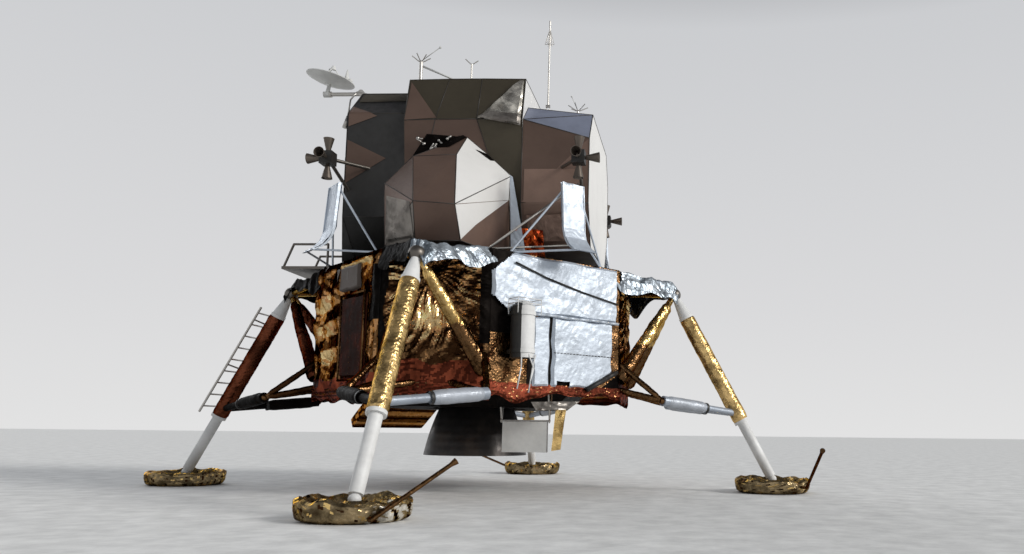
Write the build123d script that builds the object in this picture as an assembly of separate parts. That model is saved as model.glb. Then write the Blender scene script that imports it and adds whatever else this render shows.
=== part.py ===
from build123d import *

import itertools
import math
import os

os.makedirs("parts", exist_ok=True)

# The lander stands on its pads. X runs forward to the hatch and the ladder, Y to the left, Z up.
# The origin is on the ground below the vehicle's vertical axis. Sizes are in millimetres.

# Descent stage
deck_z = 3110.0
stage_height = 1740.0
half_width = 2140.0
corner = 690.0
deck_thickness = 40.0
deck_well_r = 497.0
shield_drop = 210.0
shield_thickness = 40.0
shield_floor_half = 1250.0
shield_floor_corner = 593.0
shield_rim_half = 1480.0
shield_hole_half = 725.0

# Landing gear, measured outward along each leg
apex_r = 2900.0
apex_z = 2870.0
ball_r = 4340.0
ball_z = 190.0
apex_fitting_r = 100.0
outrigger_tube_r = 40.0
outrigger_foot_rise = 150.0
outrigger_head_drop = 130.0
cylinder_r = 100.0
cylinder_share = 0.70
cone_share = 0.12
cone_tip_r = 40.0
collar_r = 108.0
collar_width = 44.0
piston_r = 74.0
ball_joint_r = 62.0
ball_clear = 0.4
secondary_r = 72.0
secondary_piston_r = 50.0
secondary_share = 0.65
secondary_knee_share = 0.45
truss_tube_r = 28.0
truss_knot_r = 46.0
truss_out = 640.0
truss_side = 150.0
truss_drop = 100.0
truss_head_rise = 420.0
truss_foot_rise = 60.0
truss_foot_inset = 60.0
truss_inner_share = 0.35

# Footpads and the bent probes on three of them
pad_r = 500.0
pad_foot_r = 230.0
pad_height = 170.0
pad_rim = 26.0
pad_floor = 51.0
pad_knee_z = 105.0
pad_knee_inset = 30.0
socket_foot_r = 110.0
socket_top_r = 84.0
socket_below_ball = 20.0
probe_r = 21.0
probe_tip_r = 34.0
probe_tip_share = 0.93
probe_hinge_r = 20.0
probe_hinge_inset = 60.0
# one row for each probe: its leg's turn, then out from the pad's middle, across and up,
# for its lower end and for its tip
probe_table = (
    (90, (440.0, 330.0, 40.0), (-10.0, 960.0, 560.0)),
    (180, (430.0, -470.0, 100.0), (470.0, -1700.0, 640.0)),
    (270, (360.0, 430.0, 60.0), (160.0, 1250.0, 420.0)),
)

# Ladder and porch on the forward leg
ladder_half = 230.0
ladder_offset = 180.0
ladder_top_share = 0.12
ladder_foot_share = 0.70
ladder_stay_shares = (0.12, 0.55)
rail_r = 17.0
rung_r = 12.0
rung_count = 9
porch_half = 450.0
porch_depth = 900.0
porch_x = 1950.0
porch_thickness = 40.0
porch_rise = 60.0
porch_rail_height = 330.0
porch_post_inset = 225.0
porch_rail_rake = 140.0
porch_leg_inset_x = 60.0
porch_leg_inset_y = 120.0
porch_rib = 10.0
porch_rib_count = 9

# Descent engine
bell_exit_r = 740.0
bell_exit_z = 490.0
bell_throat_r = 120.0
bell_throat_z = 1900.0
bell_bulge = 95.0
bell_wall = 12.0
chamber_r = 190.0
chamber_top_r = 150.0
chamber_top_z = 2330.0
chamber_flare = 110.0
chamber_dome = 70.0
engine_headroom = 120.0
gimbal_z = 2080.0
gimbal_ring_r = 330.0
gimbal_ring_wall = 50.0
gimbal_ring_height = 70.0
gimbal_pin_r = 28.0
gimbal_lug_gap = 12.0
gimbal_lug_length = 90.0
gimbal_lug_half = 60.0
gimbal_lug_drop = 70.0

# Ascent stage
ascent_floor_z = 3240.0
roof_z = 5760.0
crease_z = 5110.0
mid_front_x = 830.0
mid_rear_x = -820.0
mid_roof_half = 1080.0
mid_crease_half = 1250.0
mid_floor_half = 1000.0
mid_bulge = 22.0
post_x = 560.0
post_y = 620.0
post_foot_r = 90.0
post_head_r = 60.0
ring_r = 420.0
ring_height = 90.0
ring_wall = 35.0

# Crew cabin
cabin_half = 1170.0
cabin_roof_half = 700.0
cabin_roof_drop = 40.0
cabin_shoulder_z = 5240.0
cabin_knee_z = 3760.0
cabin_keel_half = 640.0
cabin_front_x = 1890.0
cabin_cap_depth = 230.0
cabin_wall = 60.0
face_half = 580.0
face_sill_rise = 10.0
face_top_z = 4880.0
brow_z = 5300.0
brow_half = 435.0
brow_lean = 60.0
slant_share = 0.6
face_share = 0.5
knee_share = 0.2
pane_depth = 27.0
pane_thickness = 15.0
window_outer = (1020.0, 4620.0)
window_upper = (760.0, 4880.0)
window_lower = (700.0, 4330.0)
roof_window_x = 980.0
roof_window_y = 250.0
roof_window_length = 330.0
roof_window_width = 130.0
roof_window_depth = 55.0
roof_window_glass = 25.0
glass_clear = 0.3

# Forward hatch and its hinge
hatch_half = 405.0
hatch_height = 810.0
hatch_sill = 70.0
hatch_gap = 10.0
hatch_border = 70.0
hatch_recess = 10.0
hinge_pin_r = 6.0
hinge_inset = 18.0
hinge_end_inset = 120.0
knuckle_r = 14.0
knuckle_height = 60.0
knuckle_strap = 35.0
lug_height = 30.0
pin_reach = 36.0
knuckle_clear = 0.4

# Side tank fairings
fairing_right_share = 0.72

# Aft equipment bay
aft_rear_x = -1750.0
aft_half = 1200.0
aft_ridge_half = 880.0
aft_ridge_z = 5420.0
aft_ridge_drop = 110.0
aft_eave_z = 5130.0
aft_eave_drop = 270.0
aft_belly_z = 3950.0
aft_floor_z = 3300.0
aft_floor_rise = 100.0

# Thruster clusters
cluster_place = 1676.0
cluster_z = 4420.0
cluster_half = 85.0
nozzle_exit_r = 71.0
nozzle_throat_r = 24.0
nozzle_length = 190.0
nozzle_wall = 6.0
nozzle_root = 30.0
boom_r = 24.0
boom_low_drop = 300.0
boom_high_rise = 30.0
boom_spread = 300.0
boom_front_inset = 60.0
boom_rear_inset = 90.0

# Chutes under the down-firing nozzles, measured outward along each diagonal
chute_top_out = 2243.0
chute_bend_out = 2285.0
chute_foot_out = 2547.0
chute_top_z = 4080.0
chute_bend_z = 3480.0
chute_foot_z = 3135.0
chute_half = 170.0
chute_wall = 8.0
chute_lip = 34.0
chute_leg_r = 14.0
chute_leg_inset = 50.0
chute_leg_spread = 735.0
chute_leg_bed = 4.0

# Fits shared by the hinges and swivels
pin_clear = 0.08
swivel_clear = 0.35
swivel_pin_r = 14.0

# Tracking radar over the front of the cabin
radar_pivot = (1960.0, 0.0, 6010.0)
radar_reach = 520.0
radar_lift = 170.0
radar_lean = 11.0
radar_dish_r = 360.0
radar_dish_sag = 75.0
radar_dish_wall = 10.0
radar_hub_half = 50.0
radar_hub_r = 44.0
radar_ear_r = 46.0
radar_ear_thickness = 26.0
radar_arm_r = 30.0
radar_flange = 30.0
radar_trunnion_length = 60.0
radar_cup_length = 90.0
radar_foot_back = 230.0
radar_foot_drop = 120.0
radar_leg_r = 34.0
radar_brace_r = 18.0
radar_leg_x = 1160.0
radar_brace_x = 1390.0
radar_brace_half = 260.0
radar_leg_bed = 60.0
radar_feed_height = 300.0
radar_feed_spread = 230.0

# Steerable relay dish on the right
relay_pivot = (1330.0, -1560.0, 5690.0)
relay_dish_r = 330.0
relay_lift = 70.0
relay_axis_rise = 150.0
relay_bridge_rise = 40.0
relay_head_r = 52.0
relay_head_drop = 130.0
relay_elbow_drop = 90.0
relay_boom_r = 34.0
relay_brace_r = 22.0
relay_boom_foot = (-60.0, 120.0, -420.0)
relay_brace_foot = (120.0, 160.0, -300.0)
relay_ear_r = 40.0
relay_ear_thickness = 24.0
relay_hub_half = 50.0
relay_stem_r = 24.0
relay_feed_height = 260.0
relay_feed_spread = 210.0
feed_leg_r = 7.0
feed_cap_r = 46.0
feed_tip_r = 20.0
feed_cap_height = 60.0

# Folding mast behind the roof
mast_x = -930.0
mast_y = -60.0
mast_top_z = 7200.0
mast_r = 14.0
mast_pivot_rise = 60.0
mast_hub_half = 18.0
mast_hub_r = 22.0
mast_pin_r = 6.0
mast_ear_r = 24.0
mast_ear_thickness = 14.0
mast_foot_r = 16.0
mast_bracket_drop = 240.0
mast_bracket_height = 60.0
mast_bracket_half = 30.0
crown_drop = 380.0
crown_tip_drop = 120.0
crown_r = 70.0
crown_rod_r = 4.0
crown_rods = 6

# Fixed antennas on the roof and on the aft bay
whip_rod_r = 7.0
whip_rod_rise = 60.0
whip_turn = 20.0
roof_whip_inset = 220.0
front_whip_inset = 70.0
front_whip_height = 380.0
front_whip_r = 26.0
front_whip_reach = 130.0
tee_x = 20.0
tee_height = 330.0
tee_r = 13.0
tee_reach = 90.0
aft_whip_inset = 300.0
aft_whip_y = 300.0
aft_whip_height = 190.0
aft_whip_bed = 75.0
aft_whip_r = 20.0
aft_whip_reach = 150.0

# Equipment bay opened on the forward right diagonal, with its fold-down tray
tray_width = 1250.0
tray_height = 1080.0
tray_thickness = 150.0
tray_clear = 12.0
tray_sill = 40.0
tray_open = 120.0
tray_pin_r = 20.0
tray_lug = 24.0
tray_lug_gap = 2.0
tray_lug_height = 80.0
tray_lug_root = 30.0
tray_pin_inset = 24.0
tray_proud = 12.0
tray_lip = 6.0
tray_lip_drop = 8.0
tray_lip_share = 0.9
bay_depth = 420.0
# one row for each pack on the tray: along the tray, up from its hinge, width, height, depth
pack_table = (
    (-290.0, 330.0, 520.0, 420.0, 200.0),
    (310.0, 300.0, 440.0, 360.0, 150.0),
    (30.0, 790.0, 900.0, 300.0, 120.0),
)

# Panels, cask and landing radar on the descent stage
panel_thickness = 24.0
panel_seam_z = 2330.0
panel_seam_gap = 14.0
panel_slot = 22.0
panel_side = 960.0
panel_foot = 30.0
door_left = 0.0
door_right = 640.0
door_foot = 60.0
door_head = 500.0
plate_left = -290.0
plate_right = 520.0
plate_foot = 470.0
plate_head = 90.0
low_panel_left = -420.0
low_panel_split = -140.0
cask_r = 150.0
cask_height = 640.0
cask_low_z = 1740.0
cask_side = -690.0
cask_out = 215.0
cask_cap_r = 82.0
cask_cap_height = 60.0
cask_band_r = 160.0
cask_band_height = 50.0
cask_band_inset = 60.0
cask_arm_width = 195.0
radar_box = (600.0, 110.0, 410.0)
radar_box_place = (-935.0, 1020.0, 765.0)
radar_tilt_r = 12.0
radar_tilt_rise = 12.0
radar_tilt_end = 40.0
radar_neck_half = 60.0
hanger_inset = 14.0
hanger_eye_r = 30.0
hanger_eye_half = 8.0
hanger_spread = 150.0
hang_r = 11.0
hood_thickness = 34.0
hood_clear = 2.0
hood_tip_out = 40.0
hood_tip_half = 60.0

stage_floor_z = deck_z - stage_height
deck_floor_z = deck_z - deck_thickness
face_reach = (half_width + corner) / math.sqrt(2)
cap_back_x = cabin_front_x - cabin_cap_depth
leg_turns = (0, 90, 180, 270)
far = 6000.0
apex = (apex_r, 0.0, apex_z)
ball = (ball_r, 0.0, ball_z)
quarters = (("front_left", 1, 1), ("rear_left", -1, 1), ("rear_right", -1, -1), ("front_right", 1, -1))


def write(name, shape):
    """Write one node's file."""
    export_step(shape, "parts/" + name + ".step")


def group(shapes):
    """Solids that don't touch, kept together as one node."""
    return Compound(children=list(shapes)) if len(shapes) > 1 else shapes[0]


def spin(shape, degrees):
    """A copy turned about the vehicle's vertical axis."""
    return shape.rotate(Axis.Z, degrees)


def rod(start, end, radius):
    """A round bar from one point to another."""
    start, end = Vector(*start), Vector(*end)
    along = end - start
    return Solid.make_cylinder(radius, along.length, Plane(origin=start, z_dir=along))


def taper(start, end, first_radius, last_radius):
    """A round bar whose radius changes evenly along it."""
    start, end = Vector(*start), Vector(*end)
    along = end - start
    return Solid.make_cone(first_radius, last_radius, along.length, Plane(origin=start, z_dir=along))


def knob(centre, radius):
    """A whole ball about a point."""
    return Solid.make_sphere(radius, Plane(origin=centre), -90, 90, 360)


def upright(radius, low, high, x=0.0, y=0.0):
    """A vertical round bar between two heights."""
    return Solid.make_cylinder(radius, high - low, Plane(origin=(x, y, low)))


def between(start, end, share):
    """The point at a share of the way from start to end."""
    return tuple(a + (b - a) * share for a, b in zip(start, end))


def moved(point, shift):
    """A point moved by a shift."""
    return tuple(a + b for a, b in zip(point, shift))


def slab(low, high):
    """An upright box between two opposite corners."""
    size = [b - a for a, b in zip(low, high)]
    return Solid.make_box(*size, Plane(origin=low))


def prism(outline, low_z, high_z):
    """A flat outline in X and Y, raised from one height to another."""
    wire = Wire.make_polygon([Vector(x, y, low_z) for x, y in outline], close=True)
    return Solid.extrude(Face(wire), Vector(0, 0, high_z - low_z))


def facets(points):
    """The convex solid on the given corners, each of its faces one flat polygon."""
    corners = [Vector(*p) for p in points]
    faces, seen = [], set()
    for a, b, c in itertools.combinations(corners, 3):
        normal = (b - a).cross(c - a)
        if normal.length < 1:
            continue
        normal = normal.normalized()
        heights = [(p - a).dot(normal) for p in corners]
        if max(heights) > 0.01:
            if min(heights) < -0.01:
                continue
            normal = normal * -1
        key = tuple(round(v, 4) + 0.0 for v in (normal.X, normal.Y, normal.Z))
        if key in seen:
            continue
        seen.add(key)
        flat = [p for p, height in zip(corners, heights) if abs(height) <= 0.01]
        centre = sum(flat, Vector(0, 0, 0)) * (1 / len(flat))
        across = (flat[0] - centre).normalized()
        up = normal.cross(across)
        flat.sort(key=lambda p: math.atan2((p - centre).dot(up), (p - centre).dot(across)))
        faces.append(Face(Wire.make_polygon(flat, close=True)))
    return Solid(Shell(faces))


def loft_between(low_outline, low_z, high_outline, high_z):
    """Flat-sided body between two outlines with as many corners each."""
    low = Wire.make_polygon([Vector(x, y, low_z) for x, y in low_outline], close=True)
    high = Wire.make_polygon([Vector(x, y, high_z) for x, y in high_outline], close=True)
    return Solid.make_loft([low, high], ruled=True)


def seat(shape, *neighbours):
    """What is left of a piece outside its neighbours, without the cut-off ends."""
    for other in neighbours:
        shape = shape - other
    return max(shape.solids(), key=lambda s: s.volume)


def both_sides(points):
    """The points and their mirror images across the middle plane."""
    return list(points) + [(x, -y, z) for x, y, z in points]


def octagon(reach, half, inset=0.0):
    """Corners of an eight-sided outline with four flat ends, drawn in all round."""
    reach, half = reach - inset, half - inset * math.tan(math.radians(22.5))
    quarter = [(reach, -half), (reach, half)]
    points = []
    for turn in leg_turns:
        c, s = round(math.cos(math.radians(turn))), round(math.sin(math.radians(turn)))
        points += [(x * c - y * s, x * s + y * c) for x, y in quarter]
    return points


def diagonal(turn):
    """A frame on the middle of one diagonal face: X along the face, Y inward, Z up."""
    return Rot(0, 0, turn + 90) * Pos(0, -face_reach, 0)


# Descent stage

def tank_bay():
    """One arm of the cross, from the engine bay out to its flat end."""
    return slab((corner, -corner, stage_floor_z), (half_width, corner, deck_floor_z))


def quadrant_bay():
    """The three-cornered bay between two arms."""
    return prism([(corner, corner), (half_width, corner), (corner, half_width)], stage_floor_z, deck_floor_z)


def deck():
    """The eight-sided top deck with the well for the ascent engine."""
    plate = prism(octagon(half_width, corner), deck_floor_z, deck_z)
    return plate - upright(deck_well_r, deck_floor_z, deck_z)


def engine_bay_frame():
    """The block over the descent engine and the two arms that carry its gimbal ring."""
    low = chamber_top_z + engine_headroom
    frame = slab((-corner, -corner, low), (corner, corner, deck_floor_z))
    near = gimbal_ring_r + gimbal_lug_gap
    end = near + gimbal_lug_length
    for first, last in ((near, end), (-end, -near)):
        arm = slab((first, -gimbal_lug_half, gimbal_z - gimbal_lug_drop), (last, gimbal_lug_half, low + 1))
        frame = frame + (arm - rod((first, 0, gimbal_z), (last, 0, gimbal_z), gimbal_pin_r + pin_clear))
    return frame


def base_shield():
    """The tray of thermal shielding under the stage, open round the engine bell."""
    low = stage_floor_z - shield_drop
    wall = shield_thickness
    rim, floor = (shield_rim_half, corner), (shield_floor_half, shield_floor_corner)
    body = loft_between(octagon(*floor), low, octagon(*rim), stage_floor_z)
    hollow = loft_between(octagon(*floor, wall), low + wall, octagon(*rim, wall), stage_floor_z)
    hole = octagon(shield_hole_half, shield_hole_half * math.tan(math.radians(22.5)))
    return body - hollow - prism(hole, low - wall, low + 2 * wall)


def build_descent_stage():
    """The cross of four tank bays, the four bays between them, the deck and the base shield."""
    for name, turn in zip(("front", "left", "rear", "right"), leg_turns):
        write("tank_bay_" + name, spin(tank_bay(), turn))
    for name, turn in zip(("front_left", "rear_left", "rear_right"), leg_turns):
        write("quadrant_bay_" + name, spin(quadrant_bay(), turn))
    write("quadrant_bay_front_right", tray_bay())
    write("descent_deck", deck())
    write("engine_bay_frame", engine_bay_frame())
    write("base_heat_shield", base_shield())


# Landing gear

def outrigger(arm, fitting):
    """The four tubes that hold one leg's apex off the stage."""
    tubes = []
    for height in (stage_floor_z + outrigger_foot_rise, deck_z - outrigger_head_drop):
        for side in (corner - outrigger_tube_r, outrigger_tube_r - corner):
            start = (half_width - outrigger_tube_r, side, height)
            tubes.append(seat(rod(start, apex, outrigger_tube_r), arm, fitting))
    return tubes


def apex_fitting():
    """The ball where the outrigger tubes and the strut of one leg meet."""
    return knob(apex, apex_fitting_r)


def primary_strut():
    """One leg's shock strut: cone, wrapped cylinder, two collars, piston and the ball in the pad."""
    cone_end = between(apex, ball, cone_share)
    middle = between(apex, ball, cylinder_share)
    body = taper(apex, cone_end, cone_tip_r, cylinder_r) + rod(cone_end, middle, cylinder_r)
    body = body + rod(middle, ball, piston_r)
    width = collar_width / math.dist(apex, ball)
    for start in (cone_share, cylinder_share - width):
        body = body + rod(between(apex, ball, start), between(apex, ball, start + width), collar_r)
    neck = between(ball, apex, ball_joint_r * 0.75 / math.dist(apex, ball))
    below = rod(neck, between(ball, apex, -0.1), piston_r * 2)
    return seat(body - below + knob(ball, ball_joint_r), apex_fitting())


def truss_tip(sign):
    """Where one of a leg's secondary struts meets its deployment truss."""
    return (half_width + truss_out, sign * (corner + truss_side), stage_floor_z - truss_drop)


def secondary_struts(main, frames):
    """The two lighter struts that spread one leg."""
    struts = []
    root = between(apex, ball, secondary_share)
    for sign, frame in zip((1, -1), frames):
        tip = truss_tip(sign)
        knee = between(root, tip, secondary_knee_share)
        strut = rod(root, knee, secondary_piston_r) + rod(knee, tip, secondary_r)
        struts.append(seat(strut, main, frame))
    return struts


def deployment_truss():
    """Two small frames from the stage's lower corners out to the secondary struts."""
    frames = []
    foot = stage_floor_z + truss_foot_rise
    outside = slab((half_width, -far, 0), (far, far, far))
    for sign in (1, -1):
        tip = truss_tip(sign)
        side = sign * (corner - truss_foot_inset)
        frame = knob(tip, truss_knot_r)
        for y, z in ((side, stage_floor_z + truss_head_rise), (side, foot), (side * truss_inner_share, foot)):
            frame = frame + rod((half_width, y, z), tip, truss_tube_r)
        frames.append((frame & outside).solid())
    return frames


def footpad():
    """One shallow dish with its rim and the socket of the ball joint."""
    top = ball_z - socket_below_ball
    profile = Polyline(
        (0, 0), (pad_foot_r, 0), (pad_r - pad_knee_inset, pad_knee_z), (pad_r, pad_height),
        (pad_r - pad_rim, pad_height), (pad_foot_r, pad_floor), (socket_foot_r, pad_floor),
        (socket_top_r, top), (0, top), close=True)
    dish = Pos(ball_r, 0, 0) * revolve(make_face(Plane.XZ * profile), Axis.Z).solid()
    return dish - knob(ball, ball_joint_r + ball_clear)


def probe(low, tip):
    """A sensing rod, bent up at touchdown, with its tip and its hinge on the pad."""
    low, tip = moved(low, (ball_r, 0, 0)), moved(tip, (ball_r, 0, 0))
    neck = between(low, tip, probe_tip_share)
    reach = math.dist(low[:2], (ball_r, 0))
    hold_x, hold_y = between(low[:2], (ball_r, 0), (reach - pad_r + probe_hinge_inset) / reach)
    body = rod(low, neck, probe_r) + taper(neck, tip, probe_r, probe_tip_r)
    return seat(body + rod(low, (hold_x, hold_y, pad_knee_z), probe_hinge_r), footpad())


def build_gear():
    """Four legs, alike but for the ladder on one and the probes on the others."""
    fitting, main, trusses, pad = apex_fitting(), primary_strut(), deployment_truss(), footpad()
    pieces = {
        "outrigger_tubes": outrigger(tank_bay(), fitting),
        "apex_fittings": [fitting],
        "primary_struts": [main],
        "footpads": [pad],
        "secondary_struts": secondary_struts(main, trusses),
        "deployment_trusses": trusses}
    for name, shapes in pieces.items():
        write(name, group([spin(shape, turn) for turn in leg_turns for shape in shapes]))
    write("contact_probes", group([spin(probe(low, tip), turn) for turn, low, tip in probe_table]))


def ladder():
    """Two rails with their rungs, held off the forward strut by four stays."""
    along = Vector(*ball) - Vector(*apex)
    outward = tuple(Vector(-along.Z, 0, along.X).normalized() * ladder_offset)
    top, foot = (moved(between(apex, ball, s), outward) for s in (ladder_top_share, ladder_foot_share))
    body = None
    for side in (ladder_half, -ladder_half):
        rail = rod(moved(top, (0, side, 0)), moved(foot, (0, side, 0)), rail_r)
        body = rail if body is None else body + rail
        for share in ladder_stay_shares:
            hold = between(top, foot, share)
            body = body + rod(moved(hold, (0, side, 0)), tuple(a - b for a, b in zip(hold, outward)), rung_r)
    for index in range(rung_count):
        place = between(top, foot, (index + 0.5) / rung_count)
        body = body + rod(moved(place, (0, ladder_half, 0)), moved(place, (0, -ladder_half, 0)), rung_r)
    return seat(body, primary_strut())


def porch():
    """The ribbed platform outside the hatch, with a bent handrail on each side."""
    low = deck_z + porch_rise
    top = low + porch_thickness
    body = slab((porch_x, -porch_half, low), (porch_x + porch_depth, porch_half, top))
    pitch = porch_depth / porch_rib_count
    for index in range(porch_rib_count):
        x = porch_x + pitch * (index + 0.5)
        rib_half = porch_half - 3 * rail_r
        body = body + slab((x - porch_rib, -rib_half, top - 1), (x + porch_rib, rib_half, top + porch_rib))
    high = top + porch_rail_height
    root, nose = porch_x + porch_post_inset, porch_x + porch_depth - rail_r * 1.25
    for sign in (1, -1):
        side = sign * (porch_half - rail_r)
        route = (
            (root, side, low + porch_thickness / 2), (root, side, high),
            (nose - porch_rail_rake, side, high), (nose, side, low + porch_thickness / 2))
        for start, end in zip(route, route[1:]):
            body = body + rod(start, end, rail_r)
        for bend in route[1:3]:
            body = body + knob(bend, rail_r)
        leg_x, leg_y = porch_x + porch_leg_inset_x, sign * (porch_half - porch_leg_inset_y)
        body = body + upright(rail_r, deck_z, low + 1, leg_x, leg_y)
    return body


# Descent engine

def bell():
    """The thin nozzle skirt, revolved from an arc."""
    middle_r = (bell_exit_r + bell_throat_r) / 2 + bell_bulge
    middle_z = (bell_exit_z + bell_throat_z) / 2
    rows = ((bell_throat_r, bell_throat_z), (middle_r, middle_z), (bell_exit_r, bell_exit_z))
    outer = ThreePointArc(*rows)
    inner = ThreePointArc(*[(r - bell_wall, z) for r, z in rows])
    edges = [outer, Line(outer @ 1, inner @ 1), inner, Line(inner @ 0, outer @ 0)]
    return revolve(Plane.XZ * make_face(edges), Axis.Z).solid()


def chamber():
    """The thrust chamber over the bell, with the two pins that turn in the gimbal ring."""
    profile = Polyline(
        (0, bell_throat_z), (bell_throat_r, bell_throat_z), (chamber_r, bell_throat_z + chamber_flare),
        (chamber_r, chamber_top_z - chamber_dome), (chamber_top_r, chamber_top_z), (0, chamber_top_z),
        close=True)
    body = revolve(make_face(Plane.XZ * profile), Axis.Z).solid()
    pin_end = gimbal_ring_r - gimbal_ring_wall / 2
    return body + rod((0, -pin_end, gimbal_z), (0, pin_end, gimbal_z), gimbal_pin_r)


def gimbal_ring():
    """The ring between engine and stage: bored for the chamber's pins, with its own pins across."""
    low, high = gimbal_z - gimbal_ring_height / 2, gimbal_z + gimbal_ring_height / 2
    ring = upright(gimbal_ring_r, low, high) - upright(gimbal_ring_r - gimbal_ring_wall, low, high)
    ring = ring - rod((0, -gimbal_ring_r, gimbal_z), (0, gimbal_ring_r, gimbal_z), gimbal_pin_r + pin_clear)
    near, end = gimbal_ring_r - gimbal_ring_wall / 2, gimbal_ring_r + gimbal_lug_gap + gimbal_lug_length * 0.8
    for sign in (1, -1):
        ring = ring + rod((sign * near, 0, gimbal_z), (sign * end, 0, gimbal_z), gimbal_pin_r)
    return ring


# Crew cabin

def cabin_section(x, inset):
    """The cabin's eight-sided cross-section at one station, drawn in by a wall."""
    half, slant, knee = cabin_half - inset, inset * slant_share, inset * knee_share
    return both_sides([
        (x, cabin_keel_half - slant, ascent_floor_z + inset), (x, half, cabin_knee_z + knee),
        (x, half, cabin_shoulder_z - knee), (x, cabin_roof_half - slant, roof_z - cabin_roof_drop - inset)])


def cabin_face(x, inset):
    """The smaller flat front that holds the hatch, under its leaning brow."""
    side = inset * face_share
    return both_sides([
        (x, face_half - side, ascent_floor_z + inset + face_sill_rise),
        (x, face_half - side, face_top_z - inset),
        (x - brow_lean, brow_half - side, brow_z - inset)])


def cabin_cap(inset, extra=0.0):
    """The forward part of the cabin, narrowing to its flat front."""
    return facets(cabin_section(cap_back_x - extra, inset) + cabin_face(cabin_front_x - inset, inset))


def cabin_block():
    """The cabin as one closed body, for what is seated on it."""
    return facets(cabin_section(mid_front_x, 0) + cabin_section(cap_back_x, 0)) + cabin_cap(0)


def roof_window(low, high, shrink=0.0):
    """A block in the outline of the window over the commander's place."""
    x, y = roof_window_x + shrink, roof_window_y + shrink
    end_x = roof_window_x + roof_window_length - shrink
    end_y = roof_window_y + roof_window_width - shrink
    return slab((x, y, low), (end_x, end_y, high))


def cabin_walls():
    """The cabin's straight walls with the roof window cut through."""
    outer = facets(cabin_section(mid_front_x, 0) + cabin_section(cap_back_x, 0))
    inner = facets(cabin_section(mid_front_x - 1, cabin_wall) + cabin_section(cap_back_x + 1, cabin_wall))
    return outer - inner - roof_window(roof_z - cabin_roof_drop - 3 * cabin_wall, roof_z)


def window_cut(sign):
    """A three-cornered prism through the slanting face beside the hatch."""
    points = []
    for y, z in (window_upper, window_outer, window_lower):
        points += [(cap_back_x + pane_thickness, sign * y, z), (cabin_front_x + pane_thickness, sign * y, z)]
    return facets(points)


def panes():
    """The two three-cornered panes beside the hatch and the one in the roof."""
    skin = cabin_cap(pane_depth) - cabin_cap(pane_depth + pane_thickness)
    low = roof_z - cabin_roof_drop - roof_window_depth
    glasses = [roof_window(low, low + roof_window_glass, glass_clear)]
    return glasses + [(skin & window_cut(sign)).solid() for sign in (1, -1)]


def hatch_and_lugs():
    """The hatch with its knuckles and pins, and the lugs that hold the pins."""
    back = cabin_front_x - cabin_wall
    sill = ascent_floor_z + cabin_wall + hatch_sill
    axis_x, axis_y = back - hinge_inset, -hatch_half - hinge_inset
    head = sill + hatch_height
    hatch = slab((back, -hatch_half, sill), (cabin_front_x, hatch_half, head))
    border = hatch_half - hatch_border
    hatch = hatch - slab(
        (cabin_front_x - hatch_recess, -border, sill + hatch_border),
        (cabin_front_x + 1, border, head - hatch_border))
    strap_end = -hatch_half + knuckle_strap
    lugs = []
    for low in (sill + hinge_end_inset, head - hinge_end_inset - knuckle_height):
        high = low + knuckle_height
        hatch = hatch + upright(knuckle_r, low, high, axis_x, axis_y)
        hatch = hatch + slab((axis_x, axis_y, low), (axis_x + knuckle_r, strap_end, high))
        hatch = hatch + slab((axis_x, strap_end - lug_height, low), (back + 1, strap_end, high))
        hatch = hatch + upright(hinge_pin_r, low - pin_reach, high + pin_reach, axis_x, axis_y)
        below, above = (low - lug_height, low - knuckle_clear), (high + knuckle_clear, high + lug_height)
        for start, end in (below, above):
            lug = slab((axis_x - knuckle_r, axis_y - knuckle_r, start), (back, axis_y + 2, end))
            lug = lug + upright(knuckle_r, start, end, axis_x, axis_y)
            lugs.append(lug - upright(hinge_pin_r + pin_clear, start, end, axis_x, axis_y))
    return hatch, lugs


def cabin_front(lugs):
    """The faceted front with its doorway, two window openings and the hatch's lugs."""
    room = facets(
        cabin_section(cap_back_x - 1, cabin_wall) + cabin_face(cabin_front_x - cabin_wall, cabin_wall))
    sill = ascent_floor_z + cabin_wall + hatch_sill
    half = hatch_half + hatch_gap
    doorway = slab(
        (cabin_front_x - 2 * cabin_wall, -half, sill - hatch_gap),
        (cabin_front_x + cabin_wall, half, sill + hatch_height + hatch_gap))
    front = cabin_cap(0) - room - doorway
    for sign in (1, -1):
        front = front - window_cut(sign)
    for lug in lugs:
        front = front + lug
    return front


def build_cabin():
    """Hollow crew cabin: straight walls, faceted front, hatch and three panes."""
    hatch, lugs = hatch_and_lugs()
    write("cabin_walls", cabin_walls())
    write("cabin_front", cabin_front(lugs))
    write("window_glass", group(panes()))
    write("forward_hatch", hatch)


# Ascent stage behind the cabin

def midsection():
    """The middle of the stage, its upper sides broken into shallow three-cornered facets."""
    points = []
    for x in (mid_front_x, mid_rear_x):
        points += [
            (x, mid_roof_half, roof_z), (x, mid_crease_half, crease_z), (x, mid_floor_half, ascent_floor_z)]
    # middle facet corners: share of the length from the front, at the roof and at the crease
    for roof_share, crease_share in ((0.35, 0.27), (0.63, 0.62)):
        x = mid_front_x + (mid_rear_x - mid_front_x) * roof_share
        points.append((x, mid_roof_half + mid_bulge, roof_z))
        x = mid_front_x + (mid_rear_x - mid_front_x) * crease_share
        points.append((x, mid_crease_half + mid_bulge, crease_z))
    return facets(both_sides(points))


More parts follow.
